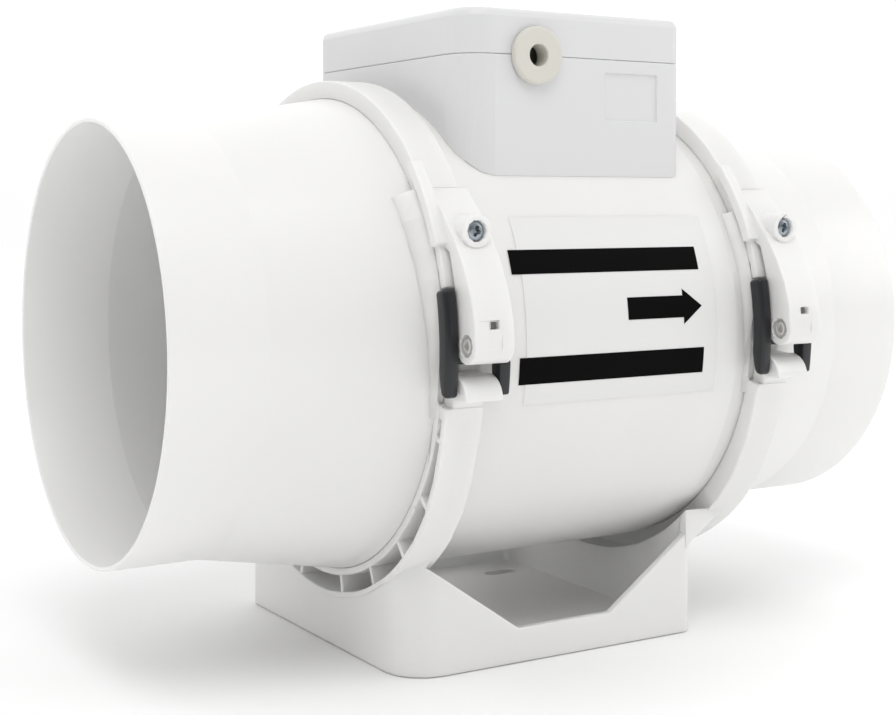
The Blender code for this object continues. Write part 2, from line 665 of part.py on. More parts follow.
def clamps():
    makers = (("latch_lever", latch_lever), ("latch_pin", latch_pin), ("clamp_screw", clamp_screw))
    for end, clamp_x in CLAMPS.items():
        clamp_band(end)
        for side in SIDES:
            for label, make in makers:
                piece = at_side(side, make)
                piece.name = "_".join((label, end, side))
                piece.data.transform(Matrix.Translation((clamp_x, 0.0, 0.0)))
                if label == "latch_lever":
                    hinge_origin(piece, clamp_x, SIDES[side])


def hinge_origin(piece, clamp_x, side):
    """Put a lever's origin on its pin, where it turns."""
    place = Vector((clamp_x + STRAP_OFFSET + STRAP_WIDTH / 2, -side * PIN_REACH, AXIS_HEIGHT + PIN_RISE))
    piece.data.transform(Matrix.Translation(-place))
    piece.location = place


# ---------------------------------------------------------------- the foot
def cradle_outer(end, degrees):
    """Outside of a half ring, which deepens from its two ends towards the foot."""
    fall = min(-degrees, 180.0 + degrees)
    t = min(max((fall + CRADLE_START) / CRADLE_BLEND, 0.0), 1.0)
    return BAND_OUTER + CRADLE_DROP[end] * t * t * (3 - 2 * t)


def cradle_ring(look, end):
    """Lower half ring: a ribbed channel, open away from the motor section."""
    wall = CRADLE_WALL
    floor = BAND_INNER + CRADLE_INNER
    steps = 20
    rows = []
    for i in range(steps + 1):
        degrees = CRADLE_START - (180.0 + 2 * CRADLE_START) * i / steps
        outer = cradle_outer(end, degrees)
        profile = [(0.0, outer), (BAND_WIDTH, outer), (BAND_WIDTH, BAND_INNER), (0.0, BAND_INNER),
                   (0.0, floor), (BAND_WIDTH - wall, floor), (BAND_WIDTH - wall, outer - wall),
                   (0.0, outer - wall)]
        rows.append([around(x, radius, degrees) for x, radius in profile])
    ring = split_faces(lofted("ring", rows, look))
    ribs = []
    for side in (1, -1):
        for i in range(CRADLE_RIBS):
            angle = -90.0 + side * (90.0 + CRADLE_RIB_FIRST - i * CRADLE_RIB_PITCH)
            ribs.append(radial_rib("rib", angle, cradle_outer(end, angle) - wall / 2, look))
    add(ring, joined("ribs", ribs, look))
    if end == "outlet":
        flip = Matrix.Translation((BAND_WIDTH, 0.0, 0.0)) @ Matrix.Diagonal((-1.0, 1.0, 1.0, 1.0))
        ring.data.transform(flip)
        ring.data.flip_normals()
    return ring


def saddle_plate(look):
    """Curved plate from the foot's outlet end wall to the overhanging half ring."""
    outer = BAND_OUTER + CRADLE_DROP["outlet"] - 0.1 * MM
    start = FOOT_LENGTH / 2 - FOOT_WALL - OUTLET_CLAMP_X
    plate = [(start, outer), (CRADLE_WALL / 2, outer), (CRADLE_WALL / 2, outer - CRADLE_WALL),
             (start, outer - CRADLE_WALL)]
    reach = math.degrees(math.acos((FOOT_WIDTH / 2 - FOOT_WALL) / outer))
    return turned("saddle", plate, look, -180.0 + reach, 180.0 - 2 * reach, 10)


def radial_rib(name, degrees, high, look):
    """Flat rib across the cradle's channel."""
    half = CRADLE_RIB / 2
    low = BAND_INNER + CRADLE_INNER / 2
    turn = math.radians(degrees)
    out = Vector((0.0, -math.cos(turn), math.sin(turn)))
    along = Vector((0.0, math.sin(turn), math.cos(turn)))
    center = Vector((0.0, 0.0, AXIS_HEIGHT))
    section = ((low, -half), (high, -half), (high, half), (low, half))
    corners = [center + out * r + along * s for r, s in section]
    ends = (CRADLE_RIB / 4, BAND_WIDTH - CRADLE_WALL / 2)
    return lofted(name, [[corner + Vector((x, 0.0, 0.0)) for corner in corners] for x in ends], look)


def keeper():
    """End block of the half ring with the quarter-round nose that the claws straddle."""
    look = white_plastic()
    low = STRAP_OFFSET + FIT_GAP
    high = STRAP_OFFSET + STRAP_WIDTH - FIT_GAP
    skin = 0.2 * MM
    inner, outer, far = BAND_INNER + skin, BAND_OUTER - skin, BAND_WIDTH - skin
    body = [(low, inner), (far, inner), (far, outer), (low, outer)]
    foot = CRADLE_START - CRADLE_END
    end = turned("keeper", body, look, foot, KEEPER_TOP - foot, 3)
    cap = [(skin, inner + skin), (far - skin, inner + skin), (far - skin, outer - skin),
           (skin, outer - skin)]
    add(end, turned("cap", cap, look, foot + 0.2, CRADLE_END - 0.4, 1))
    base = AXIS_HEIGHT - KEEPER_BASE
    center_y = -KEEPER_NOSE + KEEPER_RADIUS
    nose = circle((center_y, base), KEEPER_RADIUS, 6, 180.0, -90.0)
    root = -BAND_OUTER + CRADLE_WALL
    nose += [(root, base + KEEPER_RADIUS), (root, base)]
    return add(end, prism("nose", nose, "X", low, high, look))


def shell_radius(end, distance):
    """Outside of the shell that a horn lies on, at a distance before the clamp's face."""
    if end == "inlet":
        return FLANGE_RADIUS - distance * (FLANGE_RADIUS - NECK_RADIUS) / (INLET_LENGTH - SPIGOT_STRAIGHT)
    return FLANGE_RADIUS + FLANGE_STEP * min(distance / CASING_SLOPE, 1.0)


def horn(end):
    """Wedge that rises from the half ring beside the duct, on the clamp's inlet side."""
    foot = CRADLE_START - CRADLE_END
    top = HORN_TOP[end]
    rows = []
    full = HORN_ROWS[-1]
    for angle in (foot, *HORN_ROWS, *(full + (top - full) * k / 4 for k in (1, 2, 3, 4))):
        rise = min(max(angle / full, 0.0), 1.0)
        grown = (angle - foot) / (top - foot)
        crest = BAND_INNER + HORN_LOW + (HORN_CREST - HORN_LOW) * rise
        edge = 2.0 * MM if angle < CRADLE_START - 0.5 else -FIT_GAP
        toe = HORN_FOOT + (HORN_TOE[end] - HORN_FOOT) * grown
        toe_radius = shell_radius(end, toe) + FIT_GAP
        toe_top = toe_radius + (0.15 + 0.35 * grown) * MM
        rows.append([around(-toe, toe_radius, angle), around(edge, BAND_INNER + 0.1 * MM, angle),
                     around(edge, crest, angle), around(-toe, toe_top, angle)])
    return lofted("horn", rows, white_plastic())


def foot_shell(look):
    """Open-topped box with a slotted floor, cut away under the duct."""
    x_span = (-FOOT_LENGTH / 2, FOOT_LENGTH / 2)
    y_span = (-FOOT_WIDTH / 2, FOOT_WIDTH / 2)
    radii = (FOOT_FRONT_LEFT, FOOT_CORNER, FOOT_CORNER, FOOT_CORNER)
    top = AXIS_HEIGHT / 2
    shell = prism("base_bracket", rounded_outline(x_span, y_span, radii), "Z", 0.0, top, look)
    cut(shell, prism("inside", rounded_outline(x_span, y_span, radii, FOOT_WALL), "Z", FOOT_FLOOR,
                     top + FOOT_WALL, look))
    for end, side in (("inlet", -1), ("outlet", 1)):
        seat = BAND_OUTER + CRADLE_DROP[end] - CRADLE_WALL / 2
        low, high = sorted((0.0, side * FOOT_LENGTH))
        cut(shell, rod("duct_room", "X", (0.0, AXIS_HEIGHT), seat, low, high, look, ROUND))
    for side in SIDES.values():
        for cutter in foot_windows(side, look):
            cut(shell, cutter)
    for x in (-MOUNT_SLOT_X, MOUNT_SLOT_X):
        for y in (-MOUNT_SLOT_Y, MOUNT_SLOT_Y):
            cut(shell, mount_slot(x, y, look))
    return shell


def mount_slot(x, y, look):
    reach = MOUNT_SLOT_LENGTH / 2
    outline = circle((x + reach, y), MOUNT_SLOT_RADIUS, 6, -90.0, 180.0)
    outline += circle((x - reach, y), MOUNT_SLOT_RADIUS, 6, 90.0, 180.0)
    return prism("slot", outline, "Z", -FOOT_FLOOR, 2 * FOOT_FLOOR, look)


def foot_windows(side, look):
    """Tools that open one long wall between the clamps."""
    left, right = WINDOW_TOP_X
    clear = CLAMP_X + BAND_WIDTH
    high = AXIS_HEIGHT / 2 + FOOT_WALL
    inner = FOOT_LENGTH / 2 - FOOT_WALL - FIT_GAP
    slope = (WINDOW_TOP - WINDOW_SILL) / (right - WINDOW_SILL_X[1])
    at_inner = WINDOW_SILL + slope * (inner - WINDOW_SILL_X[1])
    opening = [(WINDOW_SILL_X[0], WINDOW_SILL), (WINDOW_SILL_X[1], WINDOW_SILL), (inner, at_inner),
               (inner, high), (clear, high), (clear, WINDOW_TOP + WINDOW_SHOULDER), (left, WINDOW_TOP)]
    corner = [(inner - FIT_GAP, at_inner - FIT_GAP * slope),
              (FOOT_LENGTH, at_inner + slope * FOOT_LENGTH / 2),
              (FOOT_LENGTH, high + FOOT_LENGTH / 2), (inner - FIT_GAP, high)]
    outside = -side * FOOT_WIDTH
    deep = -side * (FOOT_WIDTH / 2 - FOOT_FRONT_LEFT)
    shallow = -side * (FOOT_WIDTH / 2 - FOOT_WALL)
    return (prism("window", opening, "Y", min(outside, deep), max(outside, deep), look),
            prism("window_corner", corner, "Y", min(outside, shallow), max(outside, shallow), look))


def foot_flare(look):
    """Bracket from the foot's outlet corner out to the overhanging half ring."""
    left = FOOT_LENGTH / 2 - FOOT_WALL - 2 * FIT_GAP
    edge = FOOT_LENGTH / 2 - FIT_GAP
    outer = BAND_OUTER + CRADLE_DROP["outlet"]
    seat = AXIS_HEIGHT - math.sqrt(outer ** 2 - (FOOT_WIDTH / 2) ** 2)
    far = max(OUTLET_CLAMP_X, edge) + FLARE_REACH
    high = seat + 2 * CRADLE_WALL
    outline = [(left, WINDOW_TOP - 2 * FOOT_WALL), (edge, WINDOW_TOP - FOOT_WALL), (far, seat - FIT_GAP),
               (far, high), (left, high)]
    front = -FOOT_WIDTH / 2
    flare = prism("flare", outline, "Y", front, front + 1.2 * FOOT_WALL, look)
    return cut(flare, rod("ring_room", "X", (0.0, AXIS_HEIGHT), outer - 0.7 * CRADLE_WALL, -FOOT_LENGTH,
                          FOOT_LENGTH, look, ROUND))


def base_bracket():
    """Foot, both half rings, keepers and horns as one moulding."""
    look = white_plastic()
    base = foot_shell(look)
    for side in SIDES:
        add(base, at_side(side, lambda: foot_flare(look)))
    for end, clamp_x in CLAMPS.items():
        ring = cradle_ring(look, end)
        for side in SIDES:
            add(ring, at_side(side, keeper), at_side(side, lambda: horn(end)))
        if end == "outlet":
            add(ring, saddle_plate(look))
        ring.data.transform(Matrix.Translation((clamp_x, 0.0, 0.0)))
        add(split_faces(base), split_faces(ring))
    return reshade(base)


# ------------------------------------------------------------ terminal box
def box_radii():
    return (BOX_FRONT_LEFT, BOX_CORNER, BOX_CORNER, BOX_CORNER)


def post_places():
    x0, x1 = BOX_X[0] + POST_INSET, BOX_X[1] - POST_INSET
    y0, y1 = BOX_Y[0] + POST_INSET, BOX_Y[1] - POST_INSET
    return ((x0, y0), (x1, y0), (x1, y1), (x0, y1))


def saddle_top(y, lift=0.0):
    """Height of the box's inner floor above the foot, at a depth y."""
    radius = BODY_RADIUS + FIT_GAP + BOX_WALL + lift
    return AXIS_HEIGHT + math.sqrt(radius ** 2 - y ** 2)


def terminal_box():
    """Open box whose floor is a saddle on the casing, with screw and board posts."""
    look = box_plastic()
    low = AXIS_HEIGHT + BODY_RADIUS / 2
    shell = prism("terminal_box", rounded_outline(BOX_X, BOX_Y, box_radii()), "Z", low, BOX_SEAM, look)
    inside = prism("inside", rounded_outline(BOX_X, BOX_Y, box_radii(), BOX_WALL), "Z", low - BOX_WALL,
                   BOX_SEAM + BOX_WALL, look)
    seat = BODY_RADIUS + FIT_GAP
    axis = (0.0, AXIS_HEIGHT)
    cut(inside, rod("floor", "X", axis, seat + BOX_WALL, -FOOT_LENGTH, FOOT_LENGTH, look, ROUND))
    cut(shell, inside)
    top = BOX_SEAM - FIT_GAP
    posts = [rod("post", "Z", place, POST_RADIUS, low, top, look, 10) for place in post_places()]
    for x in (BOARD_X[0] + 4 * MM, BOARD_X[1] - 4 * MM):
        for y in (BOARD_Y[0] + 4 * MM, BOARD_Y[1] - 4 * MM):
            posts.append(rod("board_post", "Z", (x, y), BOARD_POST_RADIUS, low, BOARD_Z - FIT_GAP, look, 8))
    for post in posts:
        add(shell, post)
    cut(shell, rod("casing_room", "X", axis, seat, -FOOT_LENGTH, FOOT_LENGTH, look, ROUND))
    for x, y in post_places():
        cut(shell, rod("pilot", "Z", (x, y), LID_SCREW_RADIUS + SLIDE, BOX_SEAM - LID_SCREW_LENGTH,
                       BOX_SEAM + BOX_WALL, look, 10))
    lead = (LEAD_HOLE_X, LEAD_HOLE_Y)
    cut(shell, rod("lead_hole", "Z", lead, LEAD_HOLE_RADIUS, AXIS_HEIGHT, BOX_SEAM, look, 12))
    cut(shell, grommet_room(look))
    cut(shell, block("panel", (PANEL_X[0], BOX_Y[0] - 1 * MM, BOX_SEAM - PANEL_DROP[0]),
                     (PANEL_X[1], BOX_Y[0] + PANEL_DEPTH, BOX_SEAM - PANEL_DROP[1]), look))
    return reshade(shell)


def grommet_room(look):
    """Round hole through the front walls of box and lid, half in each."""
    return rod("grommet_room", "Y", (GROMMET_X, BOX_SEAM + FIT_GAP / 2), GROMMET_NECK + FIT_GAP,
               BOX_Y[0] - 1 * MM, BOX_Y[0] + 2 * BOX_WALL, look, 20)


def lid_screw_seat():
    return BOX_TOP - LID_SCREW_HEAD - LID_SCREW_SINK


def terminal_box_lid():
    """Cap with softened top edges, screw posts and stepped screw holes."""
    look = box_plastic()
    floor = BOX_SEAM + FIT_GAP
    outline = rounded_outline(BOX_X, BOX_Y, box_radii())
    bm = bmesh.new()
    layers = [(0.0, floor), (0.0, BOX_TOP - LID_EDGE)]
    for k in (1, 2, 3):
        turn = math.radians(30.0 * k)
        layers.append((LID_EDGE * (1 - math.cos(turn)), BOX_TOP - LID_EDGE * (1 - math.sin(turn))))
    loops = []
    for inset, z in layers:
        ring = rounded_outline(BOX_X, BOX_Y, box_radii(), inset)
        verts = [bm.verts.new((x, y, z)) for x, y in ring]
        loops.append([bm.edges.new((a, b)) for a, b in zip(verts, verts[1:] + verts[:1])])
    for first, second in zip(loops, loops[1:]):
        bmesh.ops.bridge_loops(bm, edges=first + second)
    fill_ends(bm)
    lid = finish("terminal_box_lid", bm, look)
    inside = rounded_outline(BOX_X, BOX_Y, box_radii(), BOX_WALL)
    cut(lid, prism("inside", inside, "Z", floor - BOX_WALL, BOX_TOP - BOX_WALL, look))
    for place in post_places():
        add(lid, rod("post", "Z", place, POST_RADIUS, floor + FIT_GAP, BOX_TOP - BOX_WALL / 2, look, 10))
    for place in post_places():
        cut(lid, rod("shank_room", "Z", place, LID_SCREW_RADIUS + SLIDE, floor - BOX_WALL,
                     BOX_TOP + BOX_WALL, look, 10))
        cut(lid, rod("head_room", "Z", place, LID_SCREW_HEAD_RADIUS + SLIDE, lid_screw_seat(),
                     BOX_TOP + BOX_WALL, look))
    cut(lid, grommet_room(look))
    return reshade(lid)


def lid_screws():
    for number, (x, y) in enumerate(post_places(), 1):
        seat = lid_screw_seat() + SLIDE
        head = rod("lid_screw_" + str(number), "Z", (x, y), LID_SCREW_HEAD_RADIUS, seat,
                   seat + LID_SCREW_HEAD, steel())
        bottom = BOX_SEAM - LID_SCREW_LENGTH + SLIDE
        reshade(add(head, rod("shank", "Z", (x, y), LID_SCREW_RADIUS, bottom, seat + 0.5 * MM, steel(), 10)))


def cable_grommet():
    """Rubber bush that straddles the seam, gripping both front walls."""
    front = BOX_Y[0] - FIT_GAP
    back = BOX_Y[0] + BOX_WALL + FIT_GAP
    edge = GROMMET_FACE / 4
    profile = [(front - GROMMET_FACE, GROMMET_BORE), (front - GROMMET_FACE, GROMMET_RADIUS - edge),
               (front - GROMMET_FACE + edge, GROMMET_RADIUS), (front, GROMMET_RADIUS), (front, GROMMET_NECK),
               (back, GROMMET_NECK), (back, GROMMET_RADIUS - edge), (back + GROMMET_FACE / 2, GROMMET_NECK),
               (back + GROMMET_FACE / 2, GROMMET_BORE)]
    height = BOX_SEAM + FIT_GAP / 2
    bm = bmesh.new()
    verts = [bm.verts.new((GROMMET_X + r, y, height)) for y, r in profile]
    edges = [bm.edges.new((a, b)) for a, b in zip(verts, verts[1:] + verts[:1])]
    bmesh.ops.spin(bm, geom=verts + edges, cent=(GROMMET_X, 0.0, height), axis=(0.0, 1.0, 0.0),
                   angle=math.tau, steps=20)
    bmesh.ops.remove_doubles(bm, verts=bm.verts[:], dist=WELD)
    return finish("cable_grommet", bm, rubber())


def box_contents():
    """Timer board on its posts, with terminal block and trimmer, and the capacitor."""
    green = material("board_green", (0.02, 0.16, 0.07), 0.5)
    face = BOARD_Z + BOARD_THICK
    block("timer_board", (BOARD_X[0], BOARD_Y[0], BOARD_Z), (BOARD_X[1], BOARD_Y[1], face), green)
    top = face + FIT_GAP
    size = BLOCK_SIZE
    body = block("terminal_block", (BLOCK_X - size[0] / 2, BLOCK_Y - size[1] / 2, top),
                 (BLOCK_X + size[0] / 2, BLOCK_Y + size[1] / 2, top + size[2]),
                 material("block_plastic", (0.75, 0.75, 0.72), 0.5))
    for i in range(BLOCK_WAYS):
        x = BLOCK_X + size[0] * ((i + 0.5) / BLOCK_WAYS - 0.5)
        cut(body, rod("way", "Y", (x, top + size[2] * 0.3), 1.6 * MM, BLOCK_Y - size[1], BLOCK_Y + size[1],
                      rubber(), 8))
        cut(body, rod("screw_way", "Z", (x, BLOCK_Y), 1.5 * MM, top + size[2] * 0.55, top + 2 * size[2],
                      rubber(), 8))
    trimmer = rod("timer_trimmer", "Z", (TRIMMER_X, TRIMMER_Y), TRIMMER_RADIUS, top, top + TRIMMER_HEIGHT,
                  material("trimmer_blue", (0.03, 0.1, 0.4), 0.4))
    half = 0.5 * MM
    reach = 2 * TRIMMER_RADIUS
    slot = block("slot", (TRIMMER_X - half, TRIMMER_Y - reach, top + TRIMMER_HEIGHT - 2 * half),
                 (TRIMMER_X + half, TRIMMER_Y + reach, top + 2 * TRIMMER_HEIGHT), rubber())
    cut(trimmer, slot)
    trimmer.data.transform(Matrix.Translation((-TRIMMER_X, -TRIMMER_Y, -top)))
    trimmer.location = (TRIMMER_X, TRIMMER_Y, top)
    seat = saddle_top(CAPACITOR_Y)
    radius = BODY_RADIUS + FIT_GAP + BOX_WALL
    tilt = radius / (radius + CAPACITOR_RADIUS + FIT_GAP)
    center_y = CAPACITOR_Y / tilt
    center_z = AXIS_HEIGHT + (seat - AXIS_HEIGHT) / tilt
    rod("run_capacitor", "X", (center_y, center_z), CAPACITOR_RADIUS, CAPACITOR_X[0], CAPACITOR_X[1],
        material("capacitor_shell", (0.75, 0.76, 0.78), 0.35), 24)


# --------------------------------------------------------- impeller, motor
def blade(name, look, hub_edge, tip_edge, wrap, thick, steps, rows):
    """One curved blade between two (x, radius) edges, as a closed thin solid."""
    def skin(s, t):
        (hx0, hr0), (hx1, hr1) = hub_edge
        (tx0, tr0), (tx1, tr1) = tip_edge
        x = (hx0 + (hx1 - hx0) * s) * (1 - t) + (tx0 + (tx1 - tx0) * s) * t
        radius = (hr0 + (hr1 - hr0) * s) * (1 - t) + (tr0 + (tr1 - tr0) * s) * t
        return around(x, radius, wrap * (1.0 - (1.0 - s) ** BLADE_CURVE) + BLADE_LEAN * t)

    small = 0.01
    layers = []
    for offset in (-thick / 2, thick / 2):
        grid = []
        for i in range(steps + 1):
            row = []
            for j in range(rows + 1):
                s, t = i / steps, j / rows
                along = skin(min(s + small, 1.0), t) - skin(max(s - small, 0.0), t)
                across = skin(s, min(t + small, 1.0)) - skin(s, max(t - small, 0.0))
                row.append(skin(s, t) + along.cross(across).normalized() * offset)
            grid.append(row)
        layers.append(grid)
    bm = bmesh.new()
    front, back = ([[bm.verts.new(p) for p in row] for row in grid] for grid in layers)
    for grid in (front, back):
        for i in range(steps):
            for j in range(rows):
                bm.faces.new((grid[i][j], grid[i + 1][j], grid[i + 1][j + 1], grid[i][j + 1]))
    edges = [edge for edge in bm.edges if edge.is_boundary]
    bmesh.ops.bridge_loops(bm, edges=edges)
    return finish(name, bm, look)


def turned_copy(obj, degrees):
    """Turn a piece about the duct axis, in its mesh."""
    center = Vector((0.0, 0.0, AXIS_HEIGHT))
    turn = Matrix.Rotation(math.radians(degrees), 4, "X")
    obj.data.transform(Matrix.Translation(center) @ turn @ Matrix.Translation(-center))
    return obj


def impeller():
    """Mixed-flow wheel: a flaring hub that carries swept blades."""
    look = material("impeller_grey", (0.25, 0.26, 0.28), 0.4)
    x0, x1 = IMPELLER_X
    length = x1 - x0
    bore = SHAFT_RADIUS + SLIDE
    boss = SHAFT_RADIUS + HUB_BOSS
    outer = [(x0 + length * t, IMPELLER_HUB * r) for t, r in HUB_CURVE]
    inner = [(x, radius - HUB_WALL) for x, radius in reversed(outer[3:])]
    inner += [(x0 + length * 0.36, IMPELLER_HUB * 0.48), (x0 + length * 0.31, boss),
              (x0 + length * 0.65, boss), (x0 + length * 0.65, bore), (x0, bore)]
    wheel = turned("impeller", outer + inner, look, steps=ROUND_INSIDE)
    hub_edge = ((x0 + length * 0.16, IMPELLER_HUB * 0.375), (x1 - 0.8 * MM, IMPELLER_HUB - HUB_WALL * 0.6))
    tip_edge = ((x0 - 1.5 * MM, IMPELLER_EYE), (x1 - 1.5 * MM, IMPELLER_TIP))
    for i in range(IMPELLER_BLADES):
        vane = blade("blade", look, hub_edge, tip_edge, BLADE_WRAP, BLADE_THICK, 5, 1)
        add(wheel, turned_copy(vane, 360.0 * i / IMPELLER_BLADES))
    wheel.data.transform(Matrix.Translation((0.0, 0.0, -AXIS_HEIGHT)))
    wheel.location = (0.0, 0.0, AXIS_HEIGHT)
    return reshade(wheel)


def inlet_shroud():
    """Venturi ring inside the casing that the blade tips run in."""
    look = white_plastic()
    x0, x1 = IMPELLER_X
    gap = TIP_GAP + BLADE_THICK / 2
    seat = FLANGE_RADIUS - SHELL_WALL - FIT_GAP
    wide = BODY_RADIUS - SHELL_WALL - FIT_GAP
    start = CLAMP_X + BAND_WIDTH / 2 + JOINT_HALF + FIT_GAP
    inner = [(start, seat - SHROUD_WALL), (start + 2 * MM, IMPELLER_TIP - 3 * MM),
             (x0 - 3.2 * MM, IMPELLER_EYE + 2 * gap), (x0, IMPELLER_EYE + gap + 1.2 * MM),
             (x1 - 1.5 * MM, IMPELLER_TIP + gap), (x1 + 4.5 * MM, wide - SHROUD_WALL)]
    outer = [(x1 + 4.5 * MM, wide), (x1 - 1.5 * MM, IMPELLER_TIP + gap + SHROUD_WALL),
             (x0 + 2 * MM, IMPELLER_EYE + 2 * gap + SHROUD_WALL), (start + 4 * MM, IMPELLER_TIP - 1 * MM),
             (start + 2 * MM, seat)]
    outer.append((start, seat))
    return turned("inlet_shroud", inner + outer, look, steps=ROUND_INSIDE)


def guide_vane_housing():
    """Motor barrel held in the casing by curved guide vanes and a ring."""
    look = white_plastic()
    x0, x1 = HOUSING_X
    inner = HOUSING_RADIUS - HOUSING_WALL
    seat = BEARING_RADIUS + FIT_GAP
    front = x0 + HOUSING_WALL
    rim = front + BEARING_WIDTH
    profile = [(x0, seat), (x0, HOUSING_RADIUS), (x1, HOUSING_RADIUS), (x1, inner), (front, inner),
               (front, seat + HOUSING_WALL), (rim, seat + HOUSING_WALL), (rim, seat)]
    barrel = turned("guide_vane_housing", profile, look, steps=ROUND_INSIDE)
    wide = BODY_RADIUS - SHELL_WALL - FIT_GAP
    hub_edge = ((VANE_X[0], HOUSING_RADIUS - 1 * MM), (VANE_X[1], HOUSING_RADIUS - 1 * MM))
    tip_edge = ((VANE_X[0], wide - 1.2 * MM), (VANE_X[1], wide - 1.2 * MM))
    for i in range(VANES):
        vane = blade("vane", look, hub_edge, tip_edge, -VANE_SWEEP, VANE_THICK, 3, 1)
        add(barrel, turned_copy(vane, VANE_START + 360.0 * i / VANES))
    low, high = VANE_RING_X
    narrow = wide - SHROUD_WALL
    ring = [(low, narrow), (high, narrow), (high, wide), (low, wide)]
    add(barrel, turned("ring", ring, look, steps=ROUND_INSIDE))
    return reshade(barrel)


def motor_parts():
    """Rotor on its shaft, two bearings, stator with end windings, tail cone."""
    x0, x1 = HOUSING_X
    bore = SHAFT_RADIUS + SLIDE
    silver = steel()
    copper = material("winding_copper", (0.55, 0.22, 0.08), 0.4, 0.6)
    iron = material("core_steel", (0.28, 0.29, 0.3), 0.45, 0.8)
    shaft_end = x1 + BEARING_WIDTH / 2
    shaft = [(IMPELLER_X[0] - 0.5 * MM, 0.0), (IMPELLER_X[0] - 0.5 * MM, SHAFT_RADIUS - 0.4 * MM),
             (IMPELLER_X[0], SHAFT_RADIUS), (shaft_end, SHAFT_RADIUS), (shaft_end, 0.0)]
    turned("motor_shaft", shaft, silver, steps=ROUND_MOTOR)
    barrel = HOUSING_RADIUS - HOUSING_WALL
    stator_bore = barrel * STATOR_BORE
    coil = [barrel * share for share in WINDING_RING]
    rings = {
        "rotor_core": (STATOR_X[0], STATOR_X[1], bore, stator_bore - ROTOR_AIR_GAP, iron),
        "stator_core": (STATOR_X[0], STATOR_X[1], stator_bore, barrel - FIT_GAP, iron),
        "front_winding": (STATOR_X[0] - FIT_GAP - WINDING_LENGTH, STATOR_X[0] - FIT_GAP, *coil, copper),
        "rear_winding": (STATOR_X[1] + FIT_GAP, STATOR_X[1] + FIT_GAP + WINDING_LENGTH, *coil, copper),
        "front_bearing": (x0 + FIT_GAP, x0 + FIT_GAP + BEARING_WIDTH, bore, BEARING_RADIUS, silver),
        "rear_bearing": (x1 - BEARING_WIDTH - FIT_GAP, x1 - FIT_GAP, bore, BEARING_RADIUS, silver),
    }
    for name, (low, high, inner, outer, look) in rings.items():
        profile = [(low, inner), (high, inner), (high, outer), (low, outer)]
        turned(name, profile, look, steps=ROUND_MOTOR)
    tail_cone(x1)


def tail_cone(x1):
    """Rounded cap behind the motor with the rear bearing's seat."""
    seat = BEARING_RADIUS + FIT_GAP
    wall = HOUSING_WALL
    low = x1 + FIT_GAP
    outer = []
    for i in range(4):
        turn = math.radians(30.0 * i)
        outer.append((low + TAIL_LENGTH * math.sin(turn), HOUSING_RADIUS * math.cos(turn)))
    outer[-1] = (low + TAIL_LENGTH, 0.0)
    deep = low + BEARING_WIDTH
    front = x1 - BEARING_WIDTH
    rim = HOUSING_RADIUS - 2 * wall
    inner = [(deep, 0.0), (deep, seat), (front, seat), (front, seat + wall), (low + wall, seat + wall),
             (low + wall, rim), (low, rim)]
    return turned("tail_cone", outer + inner, white_plastic(), steps=ROUND_INSIDE)


def main():
    for obj in list(bpy.data.objects):
        bpy.data.objects.remove(obj)
    duct_spigots()
    joint_seals()
    motor_casing()
    clamps()
    base_bracket()
    terminal_box()
    terminal_box_lid()
    lid_screws()
    cable_grommet()
    box_contents()
    impeller()
    inlet_shroud()
    guide_vane_housing()
    motor_parts()


main()
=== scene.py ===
"""Looks of the inline duct fan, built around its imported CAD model.

Shapes come from the CAD nodes themselves: shells are turned again with fine steps, and the other
mouldings are copied with softened edges.  Levers, screws, pins and labels get their small detail
here, in the places that the frame gives.  Lengths are in metres, angles in degrees.
"""
import json
import math

import bmesh
import bpy
from mathutils import Matrix, Vector
from mathutils.bvhtree import BVHTree

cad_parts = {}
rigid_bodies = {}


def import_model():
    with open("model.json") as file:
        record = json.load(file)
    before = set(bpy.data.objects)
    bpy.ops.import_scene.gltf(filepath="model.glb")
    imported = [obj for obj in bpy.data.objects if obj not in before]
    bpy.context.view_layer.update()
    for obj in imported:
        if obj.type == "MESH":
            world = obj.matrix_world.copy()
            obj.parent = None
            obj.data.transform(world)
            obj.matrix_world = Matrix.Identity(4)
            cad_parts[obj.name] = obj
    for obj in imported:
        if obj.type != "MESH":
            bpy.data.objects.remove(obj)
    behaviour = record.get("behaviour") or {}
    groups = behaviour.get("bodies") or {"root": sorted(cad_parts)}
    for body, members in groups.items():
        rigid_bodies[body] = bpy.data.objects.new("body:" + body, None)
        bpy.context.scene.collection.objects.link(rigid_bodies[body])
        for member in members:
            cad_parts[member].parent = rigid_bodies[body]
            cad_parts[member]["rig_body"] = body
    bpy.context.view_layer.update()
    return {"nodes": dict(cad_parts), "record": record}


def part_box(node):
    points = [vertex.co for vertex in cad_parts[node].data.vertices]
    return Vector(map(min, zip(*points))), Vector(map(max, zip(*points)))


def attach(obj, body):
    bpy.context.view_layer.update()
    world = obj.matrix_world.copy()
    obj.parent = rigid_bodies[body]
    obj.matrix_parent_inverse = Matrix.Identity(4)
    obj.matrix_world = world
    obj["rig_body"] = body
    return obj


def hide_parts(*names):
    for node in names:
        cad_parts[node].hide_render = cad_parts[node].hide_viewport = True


MM = 0.001

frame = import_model()

# ------------------------------------------------------------- places read from the frame
CASING_LOW, CASING_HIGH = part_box("motor_casing")
AXIS_Z = (CASING_LOW.z + CASING_HIGH.z) / 2
CASING_RADIUS = (CASING_HIGH.z - CASING_LOW.z) / 2
SPIGOT_LOW, SPIGOT_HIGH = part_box("inlet_spigot")
FLANGE_RADIUS = (SPIGOT_HIGH.z - SPIGOT_LOW.z) / 2
BOX_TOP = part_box("terminal_box")[1].z
ENDS = ("inlet", "outlet")
SIDES = {"front": -1.0, "back": 1.0}            # each side's sign of y

